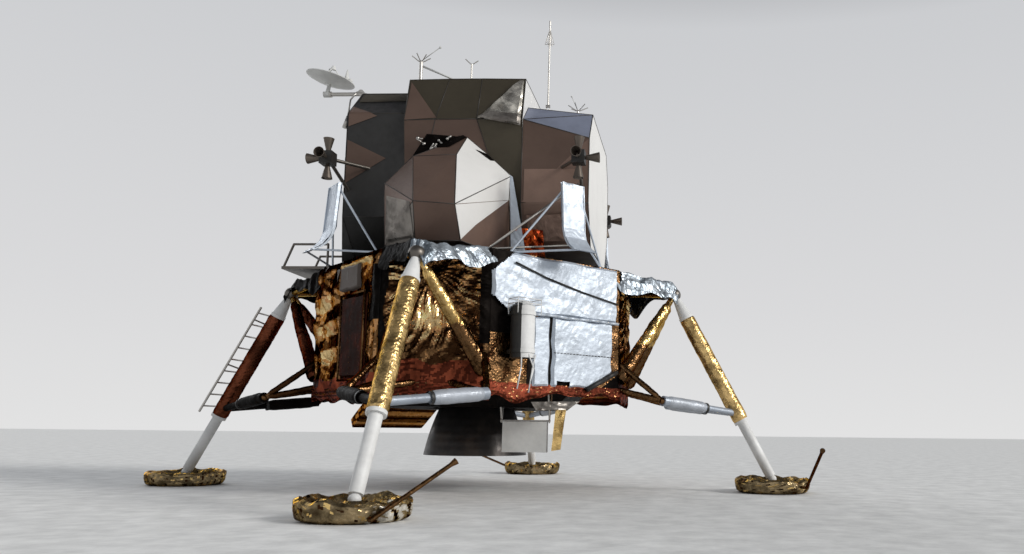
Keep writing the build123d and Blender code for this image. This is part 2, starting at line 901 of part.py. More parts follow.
# one row for each corner of the left tank fairing: forward, outward, up
fairing_corners = (
    (520.0, 1700.0, 4440.0), (-60.0, 1700.0, 4460.0), (-60.0, 1200.0, 4890.0),
    (905.0, 1640.0, 4090.0), (905.0, 1640.0, 3900.0),
    (240.0, 2430.0, 3630.0), (-280.0, 2430.0, 3590.0),
    (290.0, 2150.0, 3200.0), (-285.0, 2150.0, 3200.0), (850.0, 1680.0, 3230.0),
    (-680.0, 1200.0, 4320.0), (-660.0, 1200.0, 3985.0), (-640.0, 1000.0, 3400.0),
    (760.0, 1110.0, 4300.0), (-680.0, 950.0, 4320.0), (800.0, 985.0, 3215.0), (-640.0, 950.0, 3215.0),
)


def tank_fairing(sign, reach):
    """One faceted fairing over a side tank, pulled in or out by a reach factor."""
    return facets([
        (x, sign * (mid_floor_half + (y - mid_floor_half) * reach), z) for x, y, z in fairing_corners])


def aft_bay():
    """The equipment bay behind the midsection, with its sloping roof and drawn-in floor."""
    # one row for each edge: half width, height at the midsection, height at the rear
    edges = (
        (aft_half, aft_eave_z, aft_eave_z - aft_eave_drop),
        (aft_ridge_half, aft_ridge_z, aft_ridge_z - aft_ridge_drop),
        (aft_half, aft_belly_z, aft_belly_z),
        (aft_ridge_half, aft_floor_z, aft_floor_z + aft_floor_rise))
    points = []
    for half, front_z, rear_z in edges:
        points += [(mid_rear_x, half, front_z), (aft_rear_x, half, rear_z)]
    return facets(both_sides(points))


def build_ascent_stage():
    """Midsection with its docking ring, side fairings, aft bay and the posts under it all."""
    middle = midsection()
    ring = upright(ring_r, roof_z, roof_z + ring_height)
    write("midsection", middle)
    write("docking_ring", ring - upright(ring_r - ring_wall, roof_z, roof_z + ring_height))
    write("tank_fairing_left", (tank_fairing(1, 1.0) - middle).solid())
    write("tank_fairing_right", (tank_fairing(-1, fairing_right_share) - middle).solid())
    write("aft_equipment_bay", aft_bay())
    places = [(x, y) for x in (post_x, -post_x) for y in (post_y, -post_y)]
    write("interstage_posts", group([
        taper((x, y, deck_z), (x, y, ascent_floor_z), post_foot_r, post_head_r) for x, y in places]))


# Thruster clusters

def nozzle(start, direction):
    """One small bell, open at its wide end."""
    start, direction = Vector(*start), Vector(*direction)
    plane = Plane(origin=start, z_dir=direction)
    skirt = Solid.make_cone(nozzle_throat_r, nozzle_exit_r, nozzle_length, plane)
    inside = Solid.make_cone(
        nozzle_throat_r - nozzle_wall, nozzle_exit_r - nozzle_wall, nozzle_length - nozzle_root,
        Plane(origin=start + direction * nozzle_root, z_dir=direction))
    return skirt - inside


def cluster(x_sign, y_sign):
    """A thruster block with its four nozzles."""
    centre = (x_sign * cluster_place, y_sign * cluster_place, cluster_z)
    body = slab([c - cluster_half for c in centre], [c + cluster_half for c in centre])
    for way in ((0, 0, 1), (0, 0, -1), (x_sign, 0, 0), (0, y_sign, 0)):
        body = body + nozzle([c + w * (cluster_half - 1) for c, w in zip(centre, way)], way)
    return body


def cluster_booms(x_sign, y_sign, block):
    """The two tubes from one cluster to the side of the cabin or of the aft bay."""
    wall_y = cabin_half if x_sign > 0 else aft_half
    wall_x = cap_back_x - boom_front_inset if x_sign > 0 else abs(aft_rear_x) - boom_rear_inset
    wall = slab((-far, -wall_y, 0), (far, wall_y, far))
    start = (x_sign * cluster_place, y_sign * cluster_place, cluster_z)
    booms = []
    for height, back in ((cluster_z - boom_low_drop, 0), (cluster_z + boom_high_rise, boom_spread)):
        end = (x_sign * (wall_x - back), y_sign * (wall_y - boom_r * 2), height)
        booms.append(seat(rod(start, end, boom_r), wall, block))
    return booms


def chute_section(side_wall, lip):
    """The bent outline of a chute in X outward and Z up, extruded to one side wall."""
    top, bend, foot = (
        (chute_top_out, chute_top_z), (chute_bend_out, chute_bend_z), (chute_foot_out, chute_foot_z))
    way = (bend[0] - top[0], bend[1] - top[1])
    back = [Line(top, bend), TangentArc(bend, foot, tangent=way)]
    shifted = [(x + lip, z) for x, z in (top, bend, foot)]
    front = [Line(shifted[0], shifted[1]), TangentArc(shifted[1], shifted[2], tangent=way)]
    ends = [Line(top, shifted[0]), Line(foot, shifted[2])]
    face = Plane.XZ * make_face(back + front + ends)
    return extrude(face, side_wall / 2, both=True).solid()


def chute(turn):
    """The curved chute under one down-firing nozzle, with its lips, on four legs from the deck's edge."""
    body = chute_section(2 * chute_half, chute_wall)
    for side in (chute_half, -chute_half):
        body = body + Pos(0, side, 0) * chute_section(chute_wall, chute_lip)
    reach = face_reach - chute_leg_inset
    holds = ((chute_top_out, chute_top_z - 2 * chute_leg_r), (chute_foot_out, chute_foot_z + chute_leg_r))
    for side in (chute_leg_spread, -chute_leg_spread):
        post = (reach, side, deck_z - chute_leg_bed)
        inner = math.copysign(chute_half / 2, side)
        for out, height in holds:
            body = body + rod(post, (out + chute_wall / 2, inner, height), chute_leg_r)
    return seat(spin(body, turn), prism(octagon(half_width, corner), 0, deck_z))


def build_clusters():
    """Four clusters, each on two booms, and the chute under each."""
    booms, chutes = [], []
    for name, x_sign, y_sign in quarters:
        block = cluster(x_sign, y_sign)
        write("thruster_cluster_" + name, block)
        booms += cluster_booms(x_sign, y_sign, block)
        chutes.append(chute(math.degrees(math.atan2(y_sign, x_sign))))
    write("thruster_booms", group(booms))
    write("plume_deflectors", group(chutes))


# Antennas

def dish(radius, sag, wall):
    """A shallow reflector opening upward, its back at the origin."""
    rows = ((0, 0), (radius / 2, sag / 4), (radius, sag))
    outer = ThreePointArc(*rows)
    inner = ThreePointArc(*[(r, z + wall) for r, z in rows])
    edges = [outer, Line(outer @ 1, inner @ 1), inner, Line(inner @ 0, outer @ 0)]
    return revolve(Plane.XZ * make_face(edges), Axis.Z).solid()


def feed(radius, spread, height):
    """The small reflector over a dish's middle, on three thin legs."""
    low = height - feed_cap_height
    cap = Solid.make_cone(feed_cap_r, feed_tip_r, feed_cap_height, Plane(origin=(0, 0, low)))
    foot = (spread, 0, radar_dish_sag * (spread / radius) ** 2 + radar_dish_wall / 2)
    leg = rod(foot, (feed_tip_r, 0, low + feed_tip_r), feed_leg_r)
    for turn in (90, 210, 330):
        cap = cap + spin(leg, turn)
    return cap


def ear_pair(pivot, along, width, foot, radius, thickness, bore_r):
    """Two ears either side of a pivot, joined to a foot below."""
    pivot, along, foot = Vector(*pivot), Vector(*along), Vector(*foot)
    body = rod(foot - along * (width + thickness), foot + along * (width + thickness), thickness * 0.7)
    for sign in (1, -1):
        near, end = pivot + along * (sign * width), pivot + along * (sign * (width + thickness))
        middle = (near + end) * 0.5
        body = body + rod(near, end, radius) + rod(middle, middle + (foot - pivot), thickness / 2)
    reach = along * (width + 2 * thickness)
    return body - rod(pivot - reach, pivot + reach, bore_r)


def cross_hub(pivot, half, radius, pin_reach_out):
    """A hub across a pivot along Y, with the pin that runs out of both its ends."""
    ends = [moved(pivot, (0, sign * half, 0)) for sign in (-1, 1)]
    pins = [moved(pivot, (0, sign * pin_reach_out, 0)) for sign in (-1, 1)]
    return rod(*ends, radius) + rod(*pins, swivel_pin_r)


def build_radar():
    """The tracking radar over the front of the cabin: foot, yoke and reflector."""
    base = moved(radar_pivot, (-radar_foot_back, 0, -radar_foot_drop))
    foot = ear_pair(
        radar_pivot, (0, 1, 0), radar_hub_half + swivel_clear, base, radar_ear_r, radar_ear_thickness,
        swivel_pin_r + pin_clear)
    bed = roof_z - radar_leg_bed
    foot = foot + rod(base, (radar_leg_x, base[1], bed), radar_leg_r)
    for side in (radar_brace_half, -radar_brace_half):
        foot = foot + rod(base, (radar_brace_x, side, bed), radar_brace_r)
    write("radar_foot", seat(foot, cabin_block()))
    tip = moved(radar_pivot, (radar_reach, 0, 0))
    yoke = cross_hub(radar_pivot, radar_hub_half, radar_hub_r, radar_hub_half + radar_ear_thickness)
    yoke = yoke + rod(radar_pivot, tip, radar_arm_r)
    yoke = yoke + rod(moved(tip, (-radar_flange, 0, 0)), tip, radar_ear_r)
    yoke = yoke + rod(tip, moved(tip, (radar_trunnion_length, 0, 0)), swivel_pin_r)
    write("radar_yoke", yoke)
    cup = rod(moved(tip, (swivel_clear, 0, 0)), moved(tip, (radar_cup_length, 0, 0)), radar_ear_r)
    cup = cup - rod(tip, moved(tip, (radar_trunnion_length + 2, 0, 0)), swivel_pin_r + pin_clear)
    middle = moved(tip, (radar_cup_length / 2, 0, 0))
    reflector = dish(radar_dish_r, radar_dish_sag, radar_dish_wall)
    reflector = Pos(0, 0, radar_lift) * (reflector + feed(radar_dish_r, radar_feed_spread, radar_feed_height))
    stem = rod((0, 0, radar_ear_r / 2), (0, 0, radar_lift + radar_dish_wall / 2), radar_arm_r)
    bowl = Pos(*middle) * Rot(0, -radar_lean, 0) * (reflector + stem)
    write("radar_dish", cup + bowl.solid())


def build_relay():
    """The steerable dish on the right: boom, turning yoke and reflector."""
    x, y, z = relay_pivot
    elbow = (x, y, z - relay_elbow_drop)
    boom = upright(relay_head_r, z - relay_head_drop, z, x, y)
    for foot, radius in ((relay_boom_foot, relay_boom_r), (relay_brace_foot, relay_brace_r)):
        boom = boom + rod(elbow, (x + foot[0], foot[1] - cabin_half, z + foot[2]), radius)
    boom = boom - upright(swivel_pin_r + pin_clear, z - radar_hub_half, z, x, y)
    write("relay_boom", seat(boom, cabin_block()))
    axis = (x, y, z + relay_axis_rise)
    bridge = (x, y, z + relay_bridge_rise)
    yoke = ear_pair(
        axis, (0, 1, 0), relay_hub_half + swivel_clear, bridge, relay_ear_r, relay_ear_thickness,
        swivel_pin_r + pin_clear)
    yoke = yoke + upright(relay_head_r, z + swivel_clear, bridge[2], x, y)
    yoke = yoke + upright(swivel_pin_r, z - radar_hub_half + 2, z + 1, x, y)
    write("relay_yoke", yoke)
    hub = cross_hub(axis, relay_hub_half, relay_ear_r, relay_hub_half + relay_ear_thickness)
    back = moved(axis, (0, 0, relay_lift))
    reflector = dish(relay_dish_r, radar_dish_sag, radar_dish_wall)
    bowl = Pos(*back) * (reflector + feed(relay_dish_r, relay_feed_spread, relay_feed_height))
    stem = rod(axis, moved(back, (0, 0, radar_dish_wall / 2)), relay_stem_r)
    write("relay_dish", hub + stem + bowl.solid())


def build_mast():
    """The folding mast at the rear edge of the roof, with its cone of rods."""
    x, y = mast_x, mast_y
    pivot = (x, y, roof_z + mast_pivot_rise)
    low = roof_z - mast_bracket_drop
    ears = ear_pair(
        pivot, (1, 0, 0), mast_hub_half + swivel_clear, (x, y, roof_z - mast_pivot_rise), mast_ear_r,
        mast_ear_thickness, mast_pin_r + pin_clear)
    half = mast_bracket_half
    ears = ears + slab((x - half, y - half, low), (mid_rear_x, y + half, low + mast_bracket_height))
    ears = ears + upright(mast_foot_r, low + mast_bracket_height / 2, roof_z - mast_pivot_rise, x, y)
    write("mast_foot", seat(ears, midsection()))
    pin_half = mast_hub_half + mast_ear_thickness
    mast = rod(moved(pivot, (-mast_hub_half, 0, 0)), moved(pivot, (mast_hub_half, 0, 0)), mast_hub_r)
    mast = mast + rod(moved(pivot, (-pin_half, 0, 0)), moved(pivot, (pin_half, 0, 0)), mast_pin_r)
    mast = mast + rod(pivot, (x, y, mast_top_z), mast_r)
    low, tip = mast_top_z - crown_drop, (x, y, mast_top_z - crown_tip_drop)
    for index in range(crown_rods):
        turn = 2 * math.pi * index / crown_rods
        end = (x + crown_r * math.cos(turn), y + crown_r * math.sin(turn), low)
        mast = mast + rod(end, tip, crown_rod_r) + rod(end, (x, y, low), crown_rod_r)
    write("mast", mast)


def whip(foot, height, radius, arms, reach):
    """A short post with crossed rods at its top."""
    x, y, z = foot
    body = upright(radius, z, z + height, x, y)
    for index in range(arms):
        turn = math.radians(whip_turn + 360 * index / arms)
        end = (x + reach * math.cos(turn), y + reach * math.sin(turn), z + height + whip_rod_rise)
        body = body + rod((x, y, z + height - radius), end, whip_rod_r)
    return body


def build_whips():
    """The fixed antennas: two with crossed rods and one tee."""
    side = mid_roof_half - roof_whip_inset
    foot = (mid_front_x - front_whip_inset, side, roof_z)
    front = whip(foot, front_whip_height, front_whip_r, 6, front_whip_reach)
    tee = whip((tee_x, side, roof_z), tee_height, tee_r, 2, tee_reach)
    foot = (aft_rear_x + aft_whip_inset, aft_whip_y, aft_ridge_z - aft_whip_bed)
    aft = whip(foot, aft_whip_height + aft_whip_bed, aft_whip_r, 6, aft_whip_reach)
    write("roof_antennas", group([front, tee, seat(aft, aft_bay())]))


# Equipment on the descent stage

def tray_place():
    """The tray's own frame: X outward from its hinge line, Y along it, Z up."""
    return Rot(0, 0, -45) * Pos(face_reach + tray_pin_inset, 0, stage_floor_z + tray_sill)


def equipment_tray():
    """The tray with the packs it carries, folded down on its lower edge."""
    face = tray_proud - tray_pin_inset
    back = face - tray_thickness
    half = tray_width / 2
    body = slab((back, -half, tray_clear), (face, half, tray_clear + tray_height))
    lip_half = half * tray_lip_share
    body = body + slab((face - tray_lip, -lip_half, -tray_lip_drop), (0, lip_half, tray_clear + 2))
    pin_end = half + tray_clear + 2 * tray_lug_gap + tray_lug
    body = body + rod((0, -pin_end, 0), (0, pin_end, 0), tray_pin_r)
    for along, up, width, height, depth in pack_table:
        low = (back - depth, along - width / 2, up - height / 2)
        body = body + slab(low, (back + 1, along + width / 2, up + height / 2))
    return (tray_place() * Rot(0, tray_open, 0) * body).solid()


def tray_bay():
    """The bay that takes the tray, with room for its swing and two lugs for its pin."""
    inner = tray_thickness + tray_pin_inset - tray_proud
    swing = math.hypot(tray_height + tray_clear, inner) + tray_clear
    side = tray_width / 2 + tray_clear
    room = slab((-side, -bay_depth, 0), (side, bay_depth, swing))
    bay = spin(quadrant_bay(), -90) - diagonal(-45) * Pos(0, 0, stage_floor_z + tray_sill) * room
    tall = tray_lug_height / 2
    for sign in (1, -1):
        first, last = sorted((sign * (side + tray_lug_gap), sign * (side + tray_lug_gap + tray_lug)))
        lug = slab((-tray_pin_inset - 1, first, -tall), (tray_lug_root, last, tall))
        bay = bay + tray_place() * (lug - rod((0, first, 0), (0, last, 0), tray_pin_r + pin_clear))
    return bay


def bay_panels():
    """The smooth panels over the rear left diagonal, and the door and plate on the front left one."""
    rear, front = diagonal(135), diagonal(45)
    low = stage_floor_z + panel_foot
    seam = panel_seam_z - panel_seam_gap
    # face, left edge, right edge, bottom, top
    table = (
        (rear, -panel_side, panel_side, panel_seam_z, deck_floor_z),
        (rear, low_panel_left, low_panel_split, low, seam),
        (rear, low_panel_split + panel_slot, panel_side, low, seam),
        (front, door_left, door_right, stage_floor_z + door_foot, deck_z - door_head),
        (front, plate_left, plate_right, deck_z - plate_foot, deck_z - plate_head))
    panels = []
    for face, left, right, bottom, top in table:
        block = slab((left, -panel_thickness, bottom), (right, 0, top))
        panels.append((face * block).solid())
    return panels


def fuel_cask():
    """The fuel cask beside the rear left panels, in two bands on its bracket."""
    body = upright(cask_r, 0, cask_height)
    body = body + Solid.make_cone(cask_r, cask_cap_r, cask_cap_height, Plane(origin=(0, 0, cask_height)))
    half = cask_arm_width / 2
    for low in (cask_band_inset, cask_height - cask_band_inset - cask_band_height):
        high = low + cask_band_height
        body = body + upright(cask_band_r, low, high) + slab((-half, 0, low), (half, cask_out, high))
    return (diagonal(135) * Pos(cask_side, -cask_out, cask_low_z) * body).solid()


def build_landing_radar():
    """The flat antenna under the left side, on a tilting hanger."""
    x, y, z = radar_box_place
    wide, thick, tall = (side / 2 for side in radar_box)
    axis_z = z + tall + radar_tilt_rise
    body = slab((x - wide, y - thick, z - tall), (x + wide, y + thick, z + tall))
    end = wide + radar_tilt_end
    body = body + rod((x - end, y, axis_z), (x + end, y, axis_z), radar_tilt_r)
    neck = radar_neck_half
    body = body + slab((x - neck, y - radar_tilt_r, z + tall - 2), (x + neck, y + radar_tilt_r, axis_z))
    write("landing_radar", body)
    hangers = []
    floor = slab((-far, -far, stage_floor_z), (far, far, deck_z))
    for sign in (1, -1):
        eye_x = x + sign * (end - hanger_inset)
        ends = [(eye_x - hanger_eye_half, y, axis_z), (eye_x + hanger_eye_half, y, axis_z)]
        arms = rod(*ends, hanger_eye_r)
        for shift in (-hanger_spread, hanger_spread):
            arms = arms + rod((eye_x, y, axis_z), (eye_x, y + shift, stage_floor_z + hanger_eye_r), hang_r)
        bore = rod(moved(ends[0], (-hang_r, 0, 0)), moved(ends[1], (hang_r, 0, 0)), radar_tilt_r + pin_clear)
        arms = arms - bore
        hangers.append(seat(arms, floor, base_shield()))
    write("radar_hangers", group(hangers))


def outrigger_hood():
    """One blanket's closed outline, from the stage's edge over two tubes to the leg's apex."""
    points = []
    for lift in (outrigger_tube_r + hood_clear, outrigger_tube_r + hood_clear + hood_thickness):
        points += both_sides([
            (half_width, corner, deck_z - outrigger_head_drop + lift),
            (apex_r + hood_tip_out, hood_tip_half, apex_z + lift)])
    return seat(facets(points), apex_fitting())


build_descent_stage()
build_gear()
write("ladder", ladder())
write("porch", porch())
write("descent_bell", bell())
write("descent_chamber", chamber())
write("gimbal_ring", gimbal_ring())
build_cabin()
build_ascent_stage()
build_clusters()
build_radar()
build_relay()
build_mast()
build_whips()
write("equipment_tray", equipment_tray())
write("bay_panels", group(bay_panels()))
write("fuel_cask", fuel_cask())
build_landing_radar()
write("outrigger_blankets", group([spin(outrigger_hood(), turn) for turn in leg_turns]))
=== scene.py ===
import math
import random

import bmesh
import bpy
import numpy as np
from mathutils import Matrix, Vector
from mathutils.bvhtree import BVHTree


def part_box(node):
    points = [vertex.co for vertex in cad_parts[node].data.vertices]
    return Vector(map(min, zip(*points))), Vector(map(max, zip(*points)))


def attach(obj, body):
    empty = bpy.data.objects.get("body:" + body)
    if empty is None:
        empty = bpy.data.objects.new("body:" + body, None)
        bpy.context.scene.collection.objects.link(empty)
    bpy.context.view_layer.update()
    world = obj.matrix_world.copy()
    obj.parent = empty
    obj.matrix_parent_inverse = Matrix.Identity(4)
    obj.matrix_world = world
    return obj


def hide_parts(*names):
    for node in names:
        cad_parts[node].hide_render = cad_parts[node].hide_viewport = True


bl_info = {
    "name": "Lunar lander dressing",
    "version": (1, 0, 0),
    "blender": (4, 5, 0),
    "location": "View3D > Sidebar > Lander",
    "description": "Dresses the packed lander in its foils, blankets, panel seams and finishes",
    "category": "Object",
}

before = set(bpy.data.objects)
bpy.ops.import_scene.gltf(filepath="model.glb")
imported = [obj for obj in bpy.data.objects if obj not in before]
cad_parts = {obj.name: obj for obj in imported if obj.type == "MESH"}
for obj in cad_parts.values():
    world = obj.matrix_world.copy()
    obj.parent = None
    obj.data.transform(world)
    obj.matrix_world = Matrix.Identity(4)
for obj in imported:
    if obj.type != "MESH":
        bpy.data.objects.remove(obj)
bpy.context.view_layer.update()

# Places that the pieces share with the frame, in metres
STAGE_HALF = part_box("tank_bay_left")[1].y
STAGE_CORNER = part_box("tank_bay_left")[1].x
STAGE_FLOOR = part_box("tank_bay_left")[0].z
DECK_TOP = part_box("descent_deck")[1].z
FACE_REACH = (STAGE_HALF + STAGE_CORNER) / math.sqrt(2)
FACE_HALF = (STAGE_HALF - STAGE_CORNER) / math.sqrt(2)
APEX = (2.90, 0.0, 2.87)
BALL = (4.34, 0.0, 0.19)
LEG_TURNS = {"front": 0, "left": 90, "rear": 180, "right": 270}
# Rays that look for the upper stage's skin start far off along Y. Where one misses, the place on the
# skin that is nearest to a point not so far off serves.
FAR_OFF, NEAR_OFF = 6.0, 1.2


class LanderSizes(bpy.types.PropertyGroup):
    """Sizes of the crumpled and sewn pieces."""

    foil_depth: bpy.props.FloatProperty(
        name="Foil depth", description="How far the bay foil stands off its wall",
        default=0.06, min=0.01, max=0.12, unit="LENGTH")
    foil_fold: bpy.props.FloatProperty(
        name="Foil fold", description="Usual distance between two creases of the bay foil",
        default=0.13, min=0.04, max=0.4, unit="LENGTH")
    wrap_depth: bpy.props.FloatProperty(
        name="Wrap depth", description="How far the wraps on the struts stand off the tubes",
        default=0.013, min=0.003, max=0.04, unit="LENGTH")
    hood_depth: bpy.props.FloatProperty(
        name="Hood depth", description="Depth of the folds in the hoods over the upper tubes",
        default=0.075, min=0.01, max=0.2, unit="LENGTH")
    blanket_depth: bpy.props.FloatProperty(
        name="Blanket depth", description="Depth of the wrinkles in the bay blankets",
        default=0.016, min=0.002, max=0.06, unit="LENGTH")
    seam_radius: bpy.props.FloatProperty(
        name="Seam radius", description="Half the width of the strips between the cabin's panels",
        default=0.006, min=0.002, max=0.02, unit="LENGTH")


class LanderColours(bpy.types.PropertyGroup):
    """Colours of the foils, blankets, panels and paints."""

    amber: bpy.props.FloatVectorProperty(
        name="Amber foil", description="Bay foil", subtype="COLOR",
        default=(0.58, 0.31, 0.135), min=0, max=1)
    gold: bpy.props.FloatVectorProperty(
        name="Gold foil", description="Strut and pad foil", subtype="COLOR",
        default=(0.88, 0.60, 0.24), min=0, max=1)
    copper: bpy.props.FloatVectorProperty(
        name="Copper foil", description="Skirt foil", subtype="COLOR",
        default=(0.34, 0.085, 0.042), min=0, max=1)
    silver: bpy.props.FloatVectorProperty(
        name="Silver blanket", description="Bay blankets", subtype="COLOR",
        default=(0.56, 0.62, 0.70), min=0, max=1)
    hood: bpy.props.FloatVectorProperty(
        name="Hood blanket", description="Hoods over the tubes", subtype="COLOR",
        default=(0.27, 0.315, 0.36), min=0, max=1)
    rose: bpy.props.FloatVectorProperty(
        name="Rose panel", description="Warm grey panels", subtype="COLOR",
        default=(0.155, 0.102, 0.080), min=0, max=1)
    olive: bpy.props.FloatVectorProperty(
        name="Olive panel", description="Darker upper panels", subtype="COLOR",
        default=(0.068, 0.057, 0.040), min=0, max=1)
    # painted sunlight: this pale colour goes only where panels face the lamp, as a lit copy of the warm grey
    # panels
    pale: bpy.props.FloatVectorProperty(
        name="Pale panel", description="Bright aluminium panels", subtype="COLOR",
        default=(0.83, 0.82, 0.80), min=0, max=1)
    black: bpy.props.FloatVectorProperty(
        name="Black paint", description="Cabin and clusters", subtype="COLOR",
        default=(0.018, 0.017, 0.016), min=0, max=1)
    white: bpy.props.FloatVectorProperty(
        name="White paint", description="Strut cones and pistons", subtype="COLOR",
        default=(0.78, 0.78, 0.77), min=0, max=1)
    metal: bpy.props.FloatVectorProperty(
        name="Bare metal", description="Ladder, rails and rods", subtype="COLOR",
        default=(0.52, 0.50, 0.47), min=0, max=1)


# Creases and waves, all worked out on whole arrays of points

def drift(x, y, scale, seed):
    """Slow wavering over a surface, about -1 to 1."""
    rng = random.Random(seed)
    total = np.zeros_like(x)
    for _ in range(6):
        angle, size = rng.uniform(0, 2 * math.pi), scale * rng.uniform(0.7, 1.9)
        along = x * math.cos(angle) + y * math.sin(angle)
        total += np.sin(2 * math.pi * along / size + rng.uniform(0, 6.28))
    return total / 2.6


def zigzag(phase):
    """1 at whole numbers, 0 half way between them, straight in between."""
    return np.abs(2 * (phase - np.floor(phase)) - 1)


def creases(x, y, fold, seed, waves=9, straight=0.5):
    """Flat facets between sharp creases, as in foil crumpled and opened again, mostly 0 to 1."""
    rng = random.Random(seed)
    total, weight = np.zeros_like(x), 0.0
    for index in range(waves):
        angle, pitch = rng.uniform(0, math.pi), fold * rng.uniform(0.6, 2.4)
        bend = drift(x, y, pitch * 3.1, seed * 37 + index) * pitch * straight
        phase = (x * math.cos(angle) + y * math.sin(angle) + bend) / pitch + rng.random()
        mask = np.clip(0.55 + 0.6 * drift(x, y, pitch * 3.7, seed * 91 + index), 0, 1)
        total += pitch * zigzag(phase) * mask
        weight += pitch * 0.62
    return np.clip(total / weight, 0, 1.4)


def pleats(x, y, centre, count, seed):
    """Folds that run out from one point, as where foil is gathered, 0 to about 1."""
    dx, dy = x - centre[0], y - centre[1]
    reach = np.sqrt(dx * dx + dy * dy)
    angle = np.arctan2(dy, dx) + 0.07 * drift(x, y, 0.6, seed)
    phase = angle * count / (2 * math.pi) + 0.30 * drift(x, y, 0.8, seed + 1)
    thin = phase * 2.7 + 0.35 * drift(x, y, 0.3, seed + 3)
    ridge = 0.75 * zigzag(phase) + 0.33 * zigzag(thin)
    return ridge * np.clip(reach / 0.45, 0.05, 1) * np.clip(0.75 + 0.6 * drift(x, y, 0.3, seed + 2), 0.1, 1)


def fade(values, low, high):
    """0 below low, 1 above high, smooth between."""
    t = np.clip((values - low) / (high - low), 0, 1)
    return t * t * (3 - 2 * t)


# Meshes

def add_mesh(name, vertices, faces, finish_names, indices=None, smooth=False):
    """A new object from points and faces, with its finishes."""
    mesh = bpy.data.meshes.new(name)
    mesh.from_pydata([tuple(map(float, v)) for v in vertices], [], [tuple(map(int, f)) for f in faces])
    for finish_name in finish_names:
        mesh.materials.append(finish(finish_name))
    if indices is not None:
        mesh.polygons.foreach_set("material_index", np.asarray(indices, dtype=np.int32))
    mesh.polygons.foreach_set("use_smooth", [smooth] * len(mesh.polygons))
    mesh.validate()
    mesh.update()
    piece = bpy.data.objects.new(name, mesh)
    bpy.context.scene.collection.objects.link(piece)
    return piece


def grid_faces(rows, columns, closed=False):
    """Quads over a grid of points, row by row, joined round where it is closed."""
    r, c = np.meshgrid(np.arange(rows - 1), np.arange(columns if closed else columns - 1), indexing="ij")
    after = (c + 1) % columns
    here, below = r * columns, (r + 1) * columns
    return np.stack([here + c, here + after, below + after, below + c], -1).reshape(-1, 4)


def add_grid(name, points, finish_names, choose=None, keep=None, smooth=False, closed=False):
    """A sheet over a grid of points; choose gives each face's finish and keep drops faces."""
    rows, columns = points.shape[:2]
    flat = points.reshape(-1, 3)
    faces = grid_faces(rows, columns, closed)
    corners = flat[faces]
    centres = corners.mean(1)
    normals = np.cross(corners[:, 2] - corners[:, 0], corners[:, 3] - corners[:, 1])
    normals = normals / np.maximum(np.linalg.norm(normals, axis=1, keepdims=True), 1e-12)
    if keep is not None:
        kept = keep(centres)
        faces, centres, normals = faces[kept], centres[kept], normals[kept]
    indices = None if choose is None else choose(centres, normals)
    return add_mesh(name, flat, faces, finish_names, indices, smooth)


def tube_points(start, end, first_radius, last_radius, around, steps):
    """Rings round a straight run: middles, ways out, radii, shares of the run and angles."""
    start, end = Vector(start), Vector(end)
    way = (end - start).normalized()
    side = way.cross(Vector((0, 0, 1)) if abs(way.z) < 0.9 else Vector((1, 0, 0))).normalized()
    up = way.cross(side)
    turn = np.linspace(0, 2 * math.pi, around, endpoint=False)
    share = np.linspace(0, 1, steps)
    share, turn = np.meshgrid(share, turn, indexing="ij")
    out = np.cos(turn)[..., None] * np.array(side) + np.sin(turn)[..., None] * np.array(up)
    middle = np.array(start) + share[..., None] * np.array(end - start)
    radius = first_radius + (last_radius - first_radius) * share
    return middle, out, radius, share, turn


def turned(points, degrees):
    """Points turned about the lander's upright axis."""
    c, s = math.cos(math.radians(degrees)), math.sin(math.radians(degrees))
    x, y = points[..., 0] * c - points[..., 1] * s, points[..., 0] * s + points[..., 1] * c
    return np.stack([x, y, points[..., 2]], -1)


def between(a, b, share):
    """The point at a share of the way from a to b."""
    return tuple(p + (q - p) * share for p, q in zip(a, b))


class Rods:
    """Gathers many thin round bars, cones and beads into one mesh."""

    def __init__(self):
        self.vertices, self.faces = [], []

    def bar(self, start, end, radius, end_radius=None, around=8):
        """A bar or cone with closed ends."""
        end_radius = radius if end_radius is None else end_radius
        middle, out, size, _, _ = tube_points(start, end, radius, end_radius, around, 2)
        points = (middle + out * size[..., None]).reshape(-1, 3)
        base = len(self.vertices)
        self.vertices += points.tolist()
        self.faces += (grid_faces(2, around, True) + base).tolist()
        self.faces.append([base + i for i in reversed(range(around))])
        self.faces.append([base + around + i for i in range(around)])

    def bead(self, centre, radius, around=10):
        """A ball."""
        rings = around // 2
        base = len(self.vertices)
        for ring in range(rings + 1):
            polar = math.pi * ring / rings
            for step in range(around):
                turn = 2 * math.pi * step / around
                self.vertices.append([
                    centre[0] + radius * math.sin(polar) * math.cos(turn),
                    centre[1] + radius * math.sin(polar) * math.sin(turn),
                    centre[2] + radius * math.cos(polar)])
        self.faces += (grid_faces(rings + 1, around, True) + base).tolist()

    def path(self, points, radius, around=8):
        """Bars along a bent line, with a bead at each bend."""
        for start, end in zip(points, points[1:]):
            self.bar(start, end, radius, around=around)
        for bend in points[1:-1]:
            self.bead(bend, radius, around)

    def build(self, name, finish_name):
        """The gathered mesh as one piece."""
        return add_mesh(name, self.vertices, self.faces, [finish_name], smooth=True)


def surface_of(*nodes):
    """The outside of some CAD nodes, to lay pieces on."""
    vertices, faces = [], []
    for name in nodes:
        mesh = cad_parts[name].data
        base = len(vertices)
        vertices += [v.co[:] for v in mesh.vertices]
        faces += [[i + base for i in p.vertices] for p in mesh.polygons]
    return BVHTree.FromPolygons(vertices, faces)


def four_sided(corners, rows, columns):
    """Shares down and across a sheet between four corners, and its flat points."""
    t, s = np.meshgrid(np.linspace(0, 1, rows), np.linspace(0, 1, columns), indexing="ij")
    a, b, c, d = corners
    flat = (a * ((1 - s) * (1 - t))[..., None] + b * (s * (1 - t))[..., None]
            + c * (s * t)[..., None] + d * ((1 - s) * t)[..., None])
    return t, s, flat


